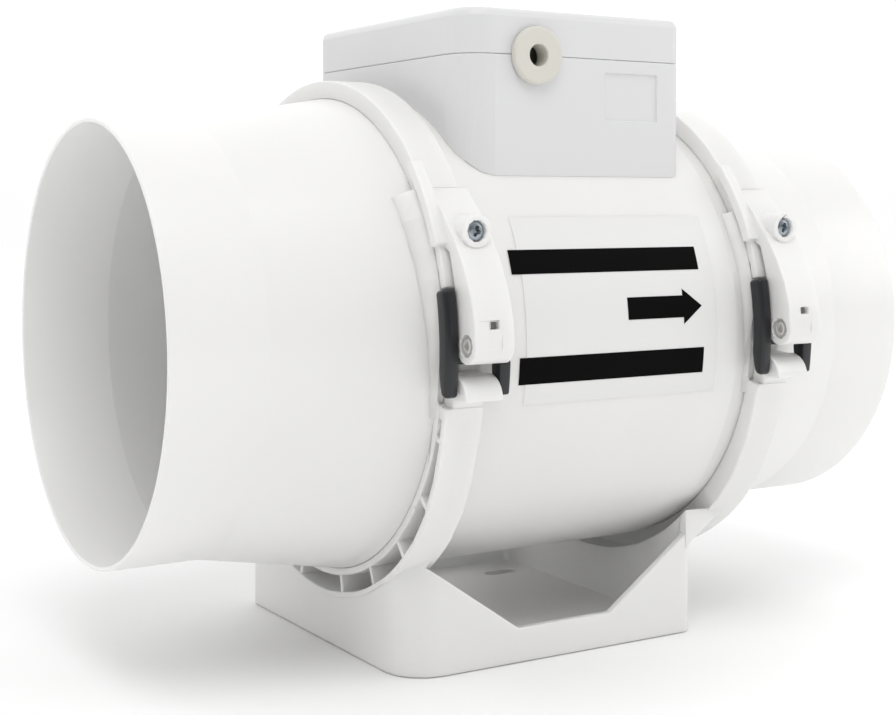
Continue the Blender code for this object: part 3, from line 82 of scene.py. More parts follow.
# ------------------------------------------------------------ sizes that the CAD is made to
FIT_GAP = 0.3 * MM                              # between pieces that touch
BAND_WIDTH = 11.3 * MM                          # clamp band, along the duct
BAND_HEIGHT = 5.5 * MM                          # its outside, over the flanges
BAND_FACES = {"inlet": -50.7 * MM, "outlet": 55.8 * MM}
TONGUE_ANGLE = 14.2                             # where a band's tongues end above the lever
TONGUE_INSET = (0.05 * MM, 0.25 * MM)           # how far they stand back from its faces
WEDGE_ANGLE = -15.0                             # where the wedges beside the duct start
WEDGE_START, WEDGE_END = 0.5 * MM, 7.0 * MM      # from a band, along the duct
CONE_SLOPE = 0.165                              # of the inlet cone beside its clamp
CASING_STEP, CASING_RAMP = 1.4 * MM, 5.8 * MM   # the casing's rise from the outlet clamp

# ---------------------------------------- small shifts that close dark slots between pieces
FLANGE_LIFT = 0.22 * MM
LID_LIFT = 0.2 * MM
SADDLE_HOVER = 0.05 * MM
TONGUE_END = 13.0
WEDGE_FACE_GAP = 0.06 * MM
WEDGE_HOVER = 0.02 * MM
TOE_SHARE = 0.3                                 # of a wedge's thickness that stays


# ------------------------------------------------------------------------------ materials
GLOSSIEST, DULLEST = 0.88, 1.15                 # moulded plastic, shares of its roughness
METAL_GLOSSIEST, METAL_DULLEST = 0.8, 1.3
STREAK_SHADE = 0.86
GRAIN_HEIGHT, STREAK_HEIGHT = 0.2 * MM, 0.1 * MM
SOFT_DEPTH, SOFT_TINT = 4.0 * MM, (0.9, 0.95, 1.0)


def node_at(tree, kind, **values):
    """New shader node with some of its inputs or properties set."""
    made = tree.nodes.new(kind)
    for key, value in values.items():
        if key in made.inputs:
            made.inputs[key].default_value = value
        else:
            setattr(made, key, value)
    return made


def new_look(name):
    """Material with its node tree, its shader and a node with the object's coordinates."""
    made = bpy.data.materials.new(name)
    made.use_nodes = True
    tree = made.node_tree
    return made, tree, tree.nodes["Principled BSDF"], tree.nodes.new("ShaderNodeTexCoord")


def varied(tree, shader, noise, dark, light, glossy, matt):
    """Let the colour and the roughness wander between two values with a noise."""
    tint = node_at(tree, "ShaderNodeMix", data_type="RGBA")
    tint.inputs["A"].default_value = (*dark, 1.0)
    tint.inputs["B"].default_value = (*light, 1.0)
    tree.links.new(noise.outputs["Fac"], tint.inputs["Factor"])
    tree.links.new(tint.outputs["Result"], shader.inputs["Base Color"])
    gloss = node_at(tree, "ShaderNodeMapRange")
    gloss.inputs["To Min"].default_value = glossy
    gloss.inputs["To Max"].default_value = matt
    tree.links.new(noise.outputs["Fac"], gloss.inputs["Value"])
    tree.links.new(gloss.outputs["Result"], shader.inputs["Roughness"])


def embossed(tree, shader, noise, strength, height):
    """Let a noise raise a fine relief."""
    bump = node_at(tree, "ShaderNodeBump", Strength=strength, Distance=height)
    tree.links.new(noise.outputs["Fac"], bump.inputs["Height"])
    tree.links.new(bump.outputs["Normal"], shader.inputs["Normal"])


def moulded(name, color, roughness, grain=900.0, depth=0.02, mottle=0.02, shine=0.5, soft=0.0):
    """Moulded plastic or rubber: faint mottling, uneven gloss and a fine spark-eroded grain."""
    made, tree, shader, place = new_look(name)
    shader.inputs["Specular IOR Level"].default_value = shine
    shader.inputs["Subsurface Weight"].default_value = soft
    shader.inputs["Subsurface Scale"].default_value = SOFT_DEPTH
    shader.inputs["Subsurface Radius"].default_value = SOFT_TINT
    clouds = node_at(tree, "ShaderNodeTexNoise", Scale=14.0, Detail=4.0)
    tree.links.new(place.outputs["Object"], clouds.inputs["Vector"])
    dark = [c * (1.0 - mottle) for c in color]
    light = [min(c * (1.0 + mottle), 1.0) for c in color]
    varied(tree, shader, clouds, dark, light, roughness * GLOSSIEST, roughness * DULLEST)
    texture = node_at(tree, "ShaderNodeTexNoise", Scale=grain, Detail=2.0)
    tree.links.new(place.outputs["Object"], texture.inputs["Vector"])
    embossed(tree, shader, texture, strength=depth, height=GRAIN_HEIGHT)
    return made


def plated(name, color, roughness, streak=(400.0, 400.0, 40.0), metallic=1.0):
    """Plated or drawn metal with fine streaks."""
    made, tree, shader, place = new_look(name)
    shader.inputs["Metallic"].default_value = metallic
    stretch = node_at(tree, "ShaderNodeMapping", Scale=streak)
    tree.links.new(place.outputs["Object"], stretch.inputs["Vector"])
    noise = node_at(tree, "ShaderNodeTexNoise", Scale=3.0, Detail=3.0)
    tree.links.new(stretch.outputs["Vector"], noise.inputs["Vector"])
    dark = [c * STREAK_SHADE for c in color]
    varied(tree, shader, noise, dark, color, roughness * METAL_GLOSSIEST,
           roughness * METAL_DULLEST)
    embossed(tree, shader, noise, strength=0.05, height=STREAK_HEIGHT)
    return made


WHITE = moulded("white_plastic_look", (0.845, 0.841, 0.828), 0.30, soft=0.35)
INNER = moulded("inner_plastic_look", (0.72, 0.71, 0.68), 0.45)
BOX_LOOK = moulded("box_plastic_look", (0.74, 0.74, 0.748), 0.36)
BLACK = moulded("lever_plastic_look", (0.011, 0.012, 0.014), 0.28, grain=1800.0, depth=0.1,
                mottle=0.1)
RUBBER = moulded("grommet_rubber_look", (0.68, 0.66, 0.6), 0.55, grain=1500.0, depth=0.1)
SEAL = moulded("seal_rubber_look", (0.02, 0.02, 0.02), 0.7, grain=1500.0, depth=0.1)
WHEEL = moulded("impeller_plastic_look", (0.27, 0.28, 0.29), 0.4)
ZINC = plated("zinc_steel_look", (0.36, 0.4, 0.43), 0.26)
# Lighter, less metallic copy of the zinc for the latch pins: painted light, so their heads show
# light grey where they face the dimly lit inlet end.
PIN_ZINC_PAINTED_LIGHT = plated("pin_zinc_painted_light_look", (0.7, 0.69, 0.67), 0.4, metallic=0.25)
CORE = plated("core_steel_look", (0.22, 0.23, 0.24), 0.5, streak=(2600.0, 30.0, 30.0))
COPPER = plated("winding_copper_look", (0.45, 0.17, 0.05), 0.4, streak=(60.0, 900.0, 900.0))
BOARD = moulded("board_green_look", (0.01, 0.1, 0.03), 0.35, grain=600.0, depth=0.1, mottle=0.15)
BLOCK = moulded("block_plastic_look", (0.6, 0.6, 0.56), 0.5)
BLUE = moulded("trimmer_blue_look", (0.01, 0.05, 0.3), 0.4)
CAN = plated("capacitor_shell_look", (0.62, 0.63, 0.65), 0.35, streak=(20.0, 900.0, 900.0))
PRINT = moulded("label_black_look", (0.003, 0.003, 0.003), 0.6, grain=700.0, depth=0.03,
                mottle=0.15, shine=0.04)
STICKER = moulded("label_film_look", (0.79, 0.787, 0.778), 0.3)

SLOT_LOOKS = {
    "white_plastic": WHITE, "inner_plastic": INNER, "box_plastic": BOX_LOOK,
    "lever_plastic": BLACK, "zinc_steel": ZINC, "grommet_rubber": RUBBER, "seal_rubber": SEAL,
    "impeller_plastic": WHEEL, "core_steel": CORE, "winding_copper": COPPER,
    "board_green": BOARD, "block_plastic": BLOCK, "trimmer_blue": BLUE, "capacitor_shell": CAN,
}
NODE_SLOTS = {part["node"]: part["material_slot"] for part in frame["record"]["subparts"]}


# --------------------------------------------------------------------------- piece makers
SMOOTH_ANGLE, SMALL_PIECE_SMOOTH_ANGLE, SHELL_SMOOTH_ANGLE = 35.0, 40.0, 50.0


def body_of_node(node):
    """Name of the body that a CAD node rides on."""
    return frame["nodes"][node]["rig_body"]


def linked(name, data):
    """New object in the scene."""
    made = bpy.data.objects.new(name, data)
    bpy.context.scene.collection.objects.link(made)
    return made


def shown(name, mesh, look, slot, body, smooth=SMOOTH_ANGLE):
    """Put a mesh in the scene as a piece that rides on a body."""
    mesh.materials.clear()
    mesh.materials.append(look)
    mesh.shade_smooth()
    mesh.set_sharp_from_angle(angle=math.radians(smooth))
    piece = linked(name, mesh)
    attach(piece, body)
    return piece


def stand_in(node, mesh, smooth=SMOOTH_ANGLE):
    """A piece that takes a CAD node's place."""
    slot = NODE_SLOTS[node]
    piece = shown(node + "_skin", mesh, SLOT_LOOKS[slot], slot, body_of_node(node), smooth)
    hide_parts(node)
    return piece


def into_mesh(bm, name):
    """Write a finished bmesh to a new mesh."""
    mesh = bpy.data.meshes.new(name)
    bm.to_mesh(mesh)
    bm.free()
    return mesh


def evaluated(piece):
    """Mesh of a piece with its modifiers applied."""
    graph = bpy.context.evaluated_depsgraph_get()
    return bpy.data.meshes.new_from_object(piece.evaluated_get(graph))


def faced_outwards(bm):
    bmesh.ops.recalc_face_normals(bm, faces=bm.faces[:])


def sewn(bm):
    """Weld points that meet, and turn every face outwards."""
    bmesh.ops.remove_doubles(bm, verts=bm.verts[:], dist=0.001 * MM)
    faced_outwards(bm)


def bridged(bm, a, b):
    """Faces between two closed rings of points."""
    for i in range(len(a)):
        j = (i + 1) % len(a)
        bm.faces.new((a[i], a[j], b[j], b[i]))


# ---------------------------------------------------------------- places around the duct
def reach_of(place):
    """Distance from the duct axis."""
    return math.hypot(place.y, place.z - AXIS_Z)


def at_reach(place, reach):
    """The point moved straight away from the duct axis, or towards it, to a distance."""
    grow = reach / reach_of(place)
    return Vector((place.x, place.y * grow, AXIS_Z + (place.z - AXIS_Z) * grow))


def side_angle(place):
    """Degrees above the duct's middle plane, on either side."""
    return math.degrees(math.atan2(place.z - AXIS_Z, abs(place.y)))


def around(x, reach, turn, side):
    """Point at a distance from the duct axis, turned up (in radians) from the middle plane."""
    return Vector((x, side * reach * math.cos(turn), AXIS_Z + reach * math.sin(turn)))


def at_angle(place, degrees):
    """The point moved around the duct axis to an angle on its own side."""
    side = math.copysign(1.0, place.y)
    return around(place.x, reach_of(place), math.radians(degrees), side)


# ------------------------------------------------------------- copies with softened edges
WELD_DISTANCE, FLAT_ANGLE = 0.002 * MM, 0.4
ARC_LEAST_RADIUS = 40.0 * MM                    # arcs nearer to the axis stay as they are
ARC_MATCH = 0.02 * MM                           # how well an arc edge's ends agree
ARC_STEP = 3.0
ARC_SPANS = (1.4 * ARC_STEP, 20.0)              # of edges that get finer steps
ARC_LIFTS = (0.01 * MM, 1.0 * MM)               # of the new points
HARD_ANGLE = 38.0                               # edges sharper than this are rounded
CROSSING_SINE = 0.35                            # from here on a neighbour bounds the rounding
ROOM_SHARE, LEAST_SHARE = 0.42, 0.4
SPIKE_SHARE = 0.9                               # of the rounding, for points too far out


def welded(node):
    """The node's surface as a bmesh with whole flat faces and no split corners."""
    bm = bmesh.new()
    bm.from_mesh(frame["nodes"][node].data)
    bmesh.ops.remove_doubles(bm, verts=bm.verts[:], dist=WELD_DISTANCE)
    bmesh.ops.dissolve_limit(bm, angle_limit=math.radians(FLAT_ANGLE), verts=bm.verts[:],
                             edges=bm.edges[:], use_dissolve_boundaries=False)
    return bm


def round_arcs(bm):
    """Give the arcs around the duct finer steps, with the new points out on the arc."""
    reach = bm.verts.layers.float.new("reach")
    for vert in bm.verts:
        vert[reach] = reach_of(vert.co)
    groups = {}
    for edge in bm.edges:
        a, b = edge.verts
        across = abs(a.co.x - b.co.x) < ARC_MATCH and abs(a[reach] - b[reach]) < ARC_MATCH
        if not across or a[reach] < ARC_LEAST_RADIUS:
            continue
        span = math.degrees(2 * math.asin(min(edge.calc_length() / 2 / a[reach], 1.0)))
        if ARC_SPANS[0] < span < ARC_SPANS[1]:
            groups.setdefault(math.ceil(span / ARC_STEP) - 1, []).append(edge)
    for cuts, edges in groups.items():
        bmesh.ops.subdivide_edges(bm, edges=edges, cuts=cuts, use_only_quads=True)
    for vert in bm.verts:
        if ARC_LIFTS[0] < vert[reach] - reach_of(vert.co) < ARC_LIFTS[1]:
            vert.co = at_reach(vert.co, vert[reach])


def pull_in_spikes(mesh, solid, reach):
    """Put points that the edge rounding threw off the solid back on its surface."""
    tree = BVHTree.FromBMesh(solid)
    for vert in mesh.vertices:
        near, _, _, distance = tree.find_nearest(vert.co)
        if distance > reach:
            vert.co = near


def share_of_width(edge, width):
    """How much of the rounding an edge has room for, next to the short edges at its ends."""
    room = width
    for vert in edge.verts:
        along = (edge.other_vert(vert).co - vert.co).normalized()
        for other in vert.link_edges:
            out = other.other_vert(vert).co - vert.co
            across = out.cross(along).length
            if other is not edge and across > CROSSING_SINE * out.length:
                room = min(room, ROOM_SHARE * across)
    return room / width if room > LEAST_SHARE * width else 0.0


def softened(node, width, segments=2, moved=None, sharp=None):
    """A copy of the node with rounded edges, except those that sharp(edge) names."""
    bm = welded(node)
    if moved is not None:
        for vert in bm.verts:
            vert.co = moved(vert.co)
    round_arcs(bm)
    bmesh.ops.connect_verts_concave(bm, faces=[face for face in bm.faces if len(face.verts) > 4])
    faced_outwards(bm)
    weight = bm.edges.layers.float.new("bevel_weight_edge")
    limit = math.radians(HARD_ANGLE)
    for edge in bm.edges:
        hard = len(edge.link_faces) == 2 and edge.calc_face_angle(0.0) > limit
        kept = not hard or (sharp is not None and sharp(edge))
        edge[weight] = 0.0 if kept else share_of_width(edge, width)
    mesh = bpy.data.meshes.new(node)
    bm.to_mesh(mesh)
    piece = stand_in(node, mesh)
    edge = piece.modifiers.new("Edges", "BEVEL")
    edge.width = width
    edge.segments = segments
    edge.limit_method = "WEIGHT"
    edge.use_clamp_overlap = False
    edge.miter_outer = "MITER_ARC"
    even = piece.modifiers.new("Normals", "WEIGHTED_NORMAL")
    even.keep_sharp = True
    shape = evaluated(piece)
    piece.modifiers.clear()
    piece.data = shape
    pull_in_spikes(shape, bm, width * SPIKE_SHARE)
    bm.free()
    return piece


# ----------------------------------------------------------------- shells, turned afresh
SHELL_STEPS = 160
CORNER_STEPS = 3
LEVEL_MATCH, FLANGE_MATCH = 0.01 * MM, 0.05 * MM
LEAST_SIDE = 0.001 * MM                         # shorter sides of an outline are dropped
LEAST_BEND = 4.0                                # gentler corners stay as they are
SIDE_SHARE = 0.45                               # of a side that a corner's rounding may take


def outline_of(node):
    """Closed (x, radius) outline of a turned node, read where it crosses the front."""
    bm = welded(node)
    bmesh.ops.triangulate(bm, faces=bm.faces[:])
    level = {v for v in bm.verts if abs(v.co.z - AXIS_Z) < LEVEL_MATCH and v.co.y < 0}
    order = [min(level, key=lambda v: (v.co.x, v.co.y))]
    while True:
        near = [edge.other_vert(order[-1]) for edge in order[-1].link_edges]
        ahead = [v for v in near if v in level and v not in order]
        if not ahead:
            break
        order.append(ahead[0])
    points = [(v.co.x, -v.co.y) for v in order]
    bm.free()
    return points


def rounded(points, radius):
    """The outline with each corner turned into a short arc."""
    soft = []
    count = len(points)
    for i, corner in enumerate(points):
        here = Vector(corner)
        before = Vector(points[i - 1]) - here
        after = Vector(points[(i + 1) % count]) - here
        if before.length < LEAST_SIDE or after.length < LEAST_SIDE:
            continue
        bend = math.pi - before.angle(after)
        if bend < math.radians(LEAST_BEND):
            soft.append(tuple(here))
            continue
        reach = min(radius * math.tan(bend / 2), before.length * SIDE_SHARE,
                    after.length * SIDE_SHARE)
        start = here + before.normalized() * reach
        end = here + after.normalized() * reach
        for k in range(CORNER_STEPS + 1):
            t = k / CORNER_STEPS
            soft.append(tuple(start * (1 - t) ** 2 + here * 2 * t * (1 - t) + end * t ** 2))
    return soft


def turned(name, points):
    """Spin an (x, radius) outline around the duct axis."""
    bm = bmesh.new()
    rings = []
    for k in range(SHELL_STEPS):
        turn = math.tau * k / SHELL_STEPS
        rings.append([bm.verts.new(around(x, r, turn, SIDES["front"])) for x, r in points])
    for a, b in zip(rings, rings[1:] + rings[:1]):
        bridged(bm, a, b)
    sewn(bm)
    return into_mesh(bm, name)


def fine_shell(node, edge):
    """A turned node again, with fine steps and rounded rims, its flange up against the clamp."""
    points = []
    for x, radius in outline_of(node):
        on_flange = abs(radius - FLANGE_RADIUS) < FLANGE_MATCH
        points.append((x, radius + FLANGE_LIFT) if on_flange else (x, radius))
    return stand_in(node, turned(node, rounded(points, edge)), SHELL_SMOOTH_ANGLE)


def shells():
    """Spigots, motor casing, impeller shroud and seals."""
    fine_shell("inlet_spigot", 0.9 * MM)
    fine_shell("outlet_spigot", 0.9 * MM)
    fine_shell("motor_casing", 1.2 * MM)
    fine_shell("inlet_shroud", 0.4 * MM)
    for end in ENDS:
        fine_shell(end + "_joint_seal", 0.1 * MM)


# ------------------------------------------------------- mouldings, drawn to what they meet
LID_MATCH, SADDLE_MATCH, WEDGE_MATCH = 0.02 * MM, 0.03 * MM, 0.05 * MM
TONGUE_MATCH = 0.15
SADDLE_REACH = 0.25 * MM                        # over the casing, for edges that stay sharp


def box_closer(place):
    """The box drawn down on the casing and up against its lid, so no dark slot shows."""
    if abs(place.z - BOX_TOP) < LID_MATCH:
        return Vector((place.x, place.y, place.z + LID_LIFT))
    if abs(reach_of(place) - CASING_RADIUS - FIT_GAP) < SADDLE_MATCH:
        return at_reach(place, CASING_RADIUS + SADDLE_HOVER)
    return place


def on_saddle(edge):
    """Edges of the box's underside, which stay sharp where it follows the casing."""
    return all(reach_of(vert.co) < CASING_RADIUS + SADDLE_REACH for vert in edge.verts)


def band_closer(face):
    """A band's tongues drawn flush with its faces and down to the lever's top."""
    least, most = TONGUE_INSET

    def moved(place):
        place = place.copy()
        if least < place.x - face < most:
            place.x = face
        if least < face + BAND_WIDTH - place.x < most:
            place.x = face + BAND_WIDTH
        at_tongue = abs(side_angle(place) - TONGUE_ANGLE) < TONGUE_MATCH
        return at_angle(place, TONGUE_END) if at_tongue else place
    return moved


def horn_closer(place):
    """The wedges beside the duct drawn down on it, with thin toes, and up to the bands."""
    if side_angle(place) < WEDGE_ANGLE:
        return place
    for end, face in BAND_FACES.items():
        before = face - place.x
        if abs(before - FIT_GAP) < WEDGE_MATCH:
            return Vector((face - WEDGE_FACE_GAP, place.y, place.z))
        if WEDGE_START < before < WEDGE_END:
            if end == "inlet":
                shell = FLANGE_RADIUS - before * CONE_SLOPE
            else:
                shell = FLANGE_RADIUS + CASING_STEP * min(before / CASING_RAMP, 1.0)
            thickness = max(reach_of(place) - shell - FIT_GAP - WEDGE_HOVER, 0.0)
            return at_reach(place, shell + WEDGE_HOVER + thickness * TOE_SHARE)
    return place


def mouldings():
    """Foot, bands, levers, terminal box, its lid and the grommet."""
    softened("base_bracket", 0.4 * MM, moved=horn_closer)
    for end in ENDS:
        softened("clamp_band_" + end, 0.3 * MM, moved=band_closer(BAND_FACES[end]))
        for side, outward in SIDES.items():
            lever("latch_lever_%s_%s" % (end, side), outward)
    softened("terminal_box", 0.35 * MM, moved=box_closer, sharp=on_saddle)
    softened("terminal_box_lid", 0.35 * MM)
    softened("cable_grommet", 0.4 * MM, segments=3)


# --------------------------------------------------------------------------------- levers
LEVER_TIP, LEVER_TOP, CLAW_TOP, TAPER_TOP = -8.7, 12.5, -1.75, -3.5
LEVER_INSIDE, TIP_INSIDE, LEVER_OUTSIDE = -1.8 * MM, 0.3 * MM, 2.9 * MM    # from the band
HANDLE_WIDTH, HANDLE_ROUNDING, HANDLE_STEPS = 3.9 * MM, 1.1 * MM, 26
CLAW_WIDTH, CLAW_ROUNDING, CLAW_STEPS = 3.4 * MM, 0.7 * MM, 10
LEAST_ROUNDING = 0.35 * MM
QUARTER_STEPS = 4
END_STEPS = 5
LEVER_OVERHANG = 2.3 * MM                       # before the band's face
PIN_OUT, PIN_UP = 5.2 * MM, 2.0 * MM            # from the band and the duct's middle plane
PLATE_INSETS = (2.0 * MM, 1.7 * MM)             # from the handle's and the claw's end
PLATE_OUTSIDE, PLATE_INSIDE = 0.9 * MM, 0.3 * MM    # from the band and the lever's inside
PLATE_DROP = 5.0 * MM                           # below the pin
NECK_SPAN = (4.4 * MM, 11.1 * MM)               # from the band's face
NECK_INSIDE = 0.6 * MM                          # from the lever's inside
NECK_DROP, NECK_RISE = 2.2 * MM, 1.2 * MM       # below and above the pin
KNUCKLE_RADIUS, KNUCKLE_LENGTH, KNUCKLE_MIDDLE = 2.8 * MM, 7.3 * MM, 7.75 * MM


def rounded_section(x_span, r_span, bend):
    """Closed (x, radius) outline of a rectangle with rounded corners."""
    (x0, x1), (r0, r1) = x_span, r_span
    section = []
    for x, r, start in ((x1 - bend, r1 - bend, 0), (x0 + bend, r1 - bend, 90),
                        (x0 + bend, r0 + bend, 180), (x1 - bend, r0 + bend, 270)):
        for k in range(QUARTER_STEPS + 1):
            turn = math.radians(start + 90.0 / QUARTER_STEPS * k)
            section.append((x + bend * math.cos(turn), r + bend * math.sin(turn)))
    return section


def rounded_bar(bm, x_span, side, sections, corner):
    """Bar along the duct's rim: cross-sections at (angle, inner, outer), with rounded ends."""
    rows = []
    first, last = sections[0][0], sections[-1][0]
    for angle, inner, outer in sections:
        middle = (inner + outer) / 2
        ahead = min(abs(angle - first), abs(angle - last)) * math.pi / 180.0 * middle
        share = min(ahead / corner, 1.0)
        inset = corner * (1.0 - math.sqrt(1.0 - (1.0 - share) ** 2))
        bend = max(corner - inset, LEAST_ROUNDING)
        section = rounded_section((x_span[0] + inset, x_span[1] - inset),
                                  (inner + inset, outer - inset), bend)
        turn = math.radians(angle)
        rows.append([bm.verts.new(around(x, r, turn, side)) for x, r in section])
    for a, b in zip(rows, rows[1:]):
        bridged(bm, a, b)
    bm.faces.new(rows[0])
    bm.faces.new(rows[-1])


def bar_sections(top, inner, tip_inner, outer, corner, steps):
    """Sections from the tip to a top angle, close together at both rounded ends."""
    low, high = LEVER_TIP, top
    reach = math.degrees(corner / outer)
    eased = [reach * (1 - math.cos(math.pi / 2 * k / END_STEPS)) for k in range(END_STEPS)]
    angles = [low + ease for ease in eased]
    angles += [low + reach + (high - low - 2 * reach) * k / steps for k in range(steps + 1)]
    angles += [high - ease for ease in reversed(eased)]
    sections = []
    for angle in angles:
        share = min(max((TAPER_TOP - angle) / (TAPER_TOP - low), 0.0), 1.0)
        sections.append((angle, inner + (tip_inner - inner) * share ** 1.5, outer))
    return sections


def add_box(bm, low, high):
    """Box between two corners."""
    size = [b - a for a, b in zip(low, high)]
    center = [(a + b) / 2 for a, b in zip(low, high)]
    place = Matrix.Translation(center) @ Matrix.Diagonal((*size, 1.0))
    bmesh.ops.create_cube(bm, size=1.0, matrix=place)


def lever(node, side):
    """Latch lever: soft-edged handle and claw, a plate behind the strap, and the pin's knuckle."""
    low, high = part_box(node)
    band = FLANGE_RADIUS + BAND_HEIGHT
    inner, tip_inner, outer = band + LEVER_INSIDE, band + TIP_INSIDE, band + LEVER_OUTSIDE
    bm = bmesh.new()
    handle = bar_sections(LEVER_TOP, inner, tip_inner, outer, HANDLE_ROUNDING, HANDLE_STEPS)
    rounded_bar(bm, (low.x, low.x + HANDLE_WIDTH), side, handle, HANDLE_ROUNDING)
    claw = bar_sections(CLAW_TOP, inner, tip_inner, outer, CLAW_ROUNDING, CLAW_STEPS)
    rounded_bar(bm, (high.x - CLAW_WIDTH, high.x), side, claw, CLAW_ROUNDING)
    clamp = low.x + LEVER_OVERHANG
    pin_y, pin_z = band + PIN_OUT, AXIS_Z + PIN_UP
    plate = sorted((side * (band + PLATE_OUTSIDE), side * (inner + PLATE_INSIDE)))
    add_box(bm, (low.x + PLATE_INSETS[0], plate[0], pin_z - PLATE_DROP),
            (high.x - PLATE_INSETS[1], plate[1], pin_z))
    neck = sorted((side * pin_y, side * (inner + NECK_INSIDE)))
    add_box(bm, (clamp + NECK_SPAN[0], neck[0], pin_z - NECK_DROP),
            (clamp + NECK_SPAN[1], neck[1], pin_z + NECK_RISE))
    middle = Matrix.Translation((clamp + KNUCKLE_MIDDLE, side * pin_y, pin_z))
    bmesh.ops.create_cone(bm, cap_ends=True, segments=32, radius1=KNUCKLE_RADIUS,
                          radius2=KNUCKLE_RADIUS, depth=KNUCKLE_LENGTH,
                          matrix=middle @ Matrix.Rotation(math.pi / 2, 4, "Y"))
    faced_outwards(bm)
    return stand_in(node, into_mesh(bm, node), SMALL_PIECE_SMOOTH_ANGLE)


# -------------------------------------------------------------------------- screws and pins
SPUN_STEPS = 48
SCREW_DOME = ((0.0, 0.0), (0.02, 0.5), (0.14, 0.78), (0.4, 0.95), (0.62, 1.0))
PIN_HEAD = ((1.2, 0.0), (1.2, 0.39), (0.08, 0.42), (0.0, 0.46), (0.0, 0.66), (0.1, 0.72),
            (0.8, 0.74), (0.8, 0.96), (1.1, 0.96))
PIN_HEAD_HEIGHT = 1.1 * MM
CLAMP_SCREW_HEAD_HEIGHT, LID_SCREW_HEAD_HEIGHT = 1.5 * MM, 2.0 * MM
SCREW_SHANK, PIN_SHANK = 0.6, 0.55              # of the head's radius
RECESS_DEPTH = 1.1 * MM
RECESS_TURN = 20.0
ARM_LENGTH, ARM_HALF_WIDTH = 0.62, 0.17         # of the head's radius
ARM_ROOT = 1.5                                  # of the half width
RECESS_LEVELS = ((-0.6, 1.15), (1.0, 0.55))     # share of the depth, share of the cross


def facing(axis):
    """Rotation that lays local -Z along an axis that points out of the piece."""
    return Vector((0.0, 0.0, -1.0)).rotation_difference(Vector(axis)).to_matrix()


def scaled(profile, radius):
    """A head's profile, given as depths in mm and shares of its radius, in metres."""
    return [(depth * MM, radius * share) for depth, share in profile]


def spun(profile, center, axis):
    """Turn a (depth, radius) profile about an axis that points out of the piece."""
    bm = bmesh.new()
    turn = facing(axis)
    rings = []
    for k in range(SPUN_STEPS):
        angle = math.tau * k / SPUN_STEPS
        ring = []
        for depth, radius in profile:
            local = Vector((radius * math.cos(angle), radius * math.sin(angle), depth))
            ring.append(bm.verts.new(center + turn @ local))
        rings.append(ring)
    for a, b in zip(rings, rings[1:] + rings[:1]):
        for i in range(len(profile) - 1):
            bm.faces.new((a[i], a[i + 1], b[i + 1], b[i]))
    sewn(bm)
    return bm


def outer_end(node, axis):
    """Middle of the end face that looks along the axis, with the piece's radius and length."""
    low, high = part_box(node)
    end = (low + high) / 2
    size = high - low
    length = 0.0
    radius = 0.0
    for k in range(3):
        if axis[k]:
            end[k] = high[k] if axis[k] > 0 else low[k]
            length = size[k]
        else:
            radius = max(radius, size[k] / 2)
    return end, radius, length


def cross_recess(bm, center, axis, radius):
    """Sink a tapered cross into a head."""
    head = linked("head", into_mesh(bm, "head"))
    arm = radius * ARM_LENGTH
    half = radius * ARM_HALF_WIDTH
    root = half * ARM_ROOT
    star = []
    for k in range(4):
        for along, across in ((arm, -half), (arm, half), (root, root)):
            spot = Matrix.Rotation(math.tau * k / 4, 4, "Z") @ Vector((along, across, 0.0))
            star.append((spot.x, spot.y))
    cross = bmesh.new()
    rows = [[cross.verts.new((x * grow, y * grow, depth * RECESS_DEPTH)) for x, y in star]
            for depth, grow in RECESS_LEVELS]
    bridged(cross, *rows)
    for row in rows:
        cross.faces.new(row)
    faced_outwards(cross)
    mesh = into_mesh(cross, "cross")
    mesh.transform(Matrix.Translation(center) @ facing(axis).to_4x4()
                   @ Matrix.Rotation(math.radians(RECESS_TURN), 4, "Z"))
    tool = linked("cross", mesh)
    cut = head.modifiers.new("Recess", "BOOLEAN")
    cut.operation = "DIFFERENCE"
    cut.object = tool
    shape = evaluated(head)
    bpy.data.objects.remove(tool)
    bpy.data.objects.remove(head)
    return shape


def screw(node, axis, head_height):
    """Domed screw with a cross recess."""
    end, radius, length = outer_end(node, axis)
    shank = radius * SCREW_SHANK
    profile = scaled(SCREW_DOME, radius)
    profile += [(head_height, radius), (head_height, shank), (length, shank), (length, 0.0)]
    head = spun(profile, end, axis)
    return stand_in(node, cross_recess(head, end, axis, radius), SMALL_PIECE_SMOOTH_ANGLE)


def pin(node, axis):
    """Latch pin whose rimmed head has a centre hole."""
    end, radius, length = outer_end(node, axis)
    shank = radius * PIN_SHANK
    profile = scaled(PIN_HEAD, radius)
    profile += [(PIN_HEAD_HEIGHT, shank), (length, shank), (length, 0.0)]
    mesh = into_mesh(spun(profile, end, axis), node)
    piece = stand_in(node, mesh, SMALL_PIECE_SMOOTH_ANGLE)
    # The pin wears the lightened zinc copy, which paints light on its head.
    piece.data.materials[0] = PIN_ZINC_PAINTED_LIGHT
    return piece


def fasteners():
    """Latch pins, clamp screws and the lid's screws."""
    for end in ENDS:
        for side, outward in SIDES.items():
            pin("latch_pin_%s_%s" % (end, side), (-1.0, 0.0, 0.0))
            screw("clamp_screw_%s_%s" % (end, side), (0.0, outward, 0.0),
                  CLAMP_SCREW_HEAD_HEIGHT)
    for number in range(1, 5):
        screw("lid_screw_%d" % number, (0.0, 0.0, 1.0), LID_SCREW_HEAD_HEIGHT)


def plain_nodes():
    """Nodes that keep their CAD shape get their finish."""
    for name, obj in frame["nodes"].items():
        look = SLOT_LOOKS[NODE_SLOTS[name]]
        obj.data.materials.clear()
        obj.data.materials.append(look)


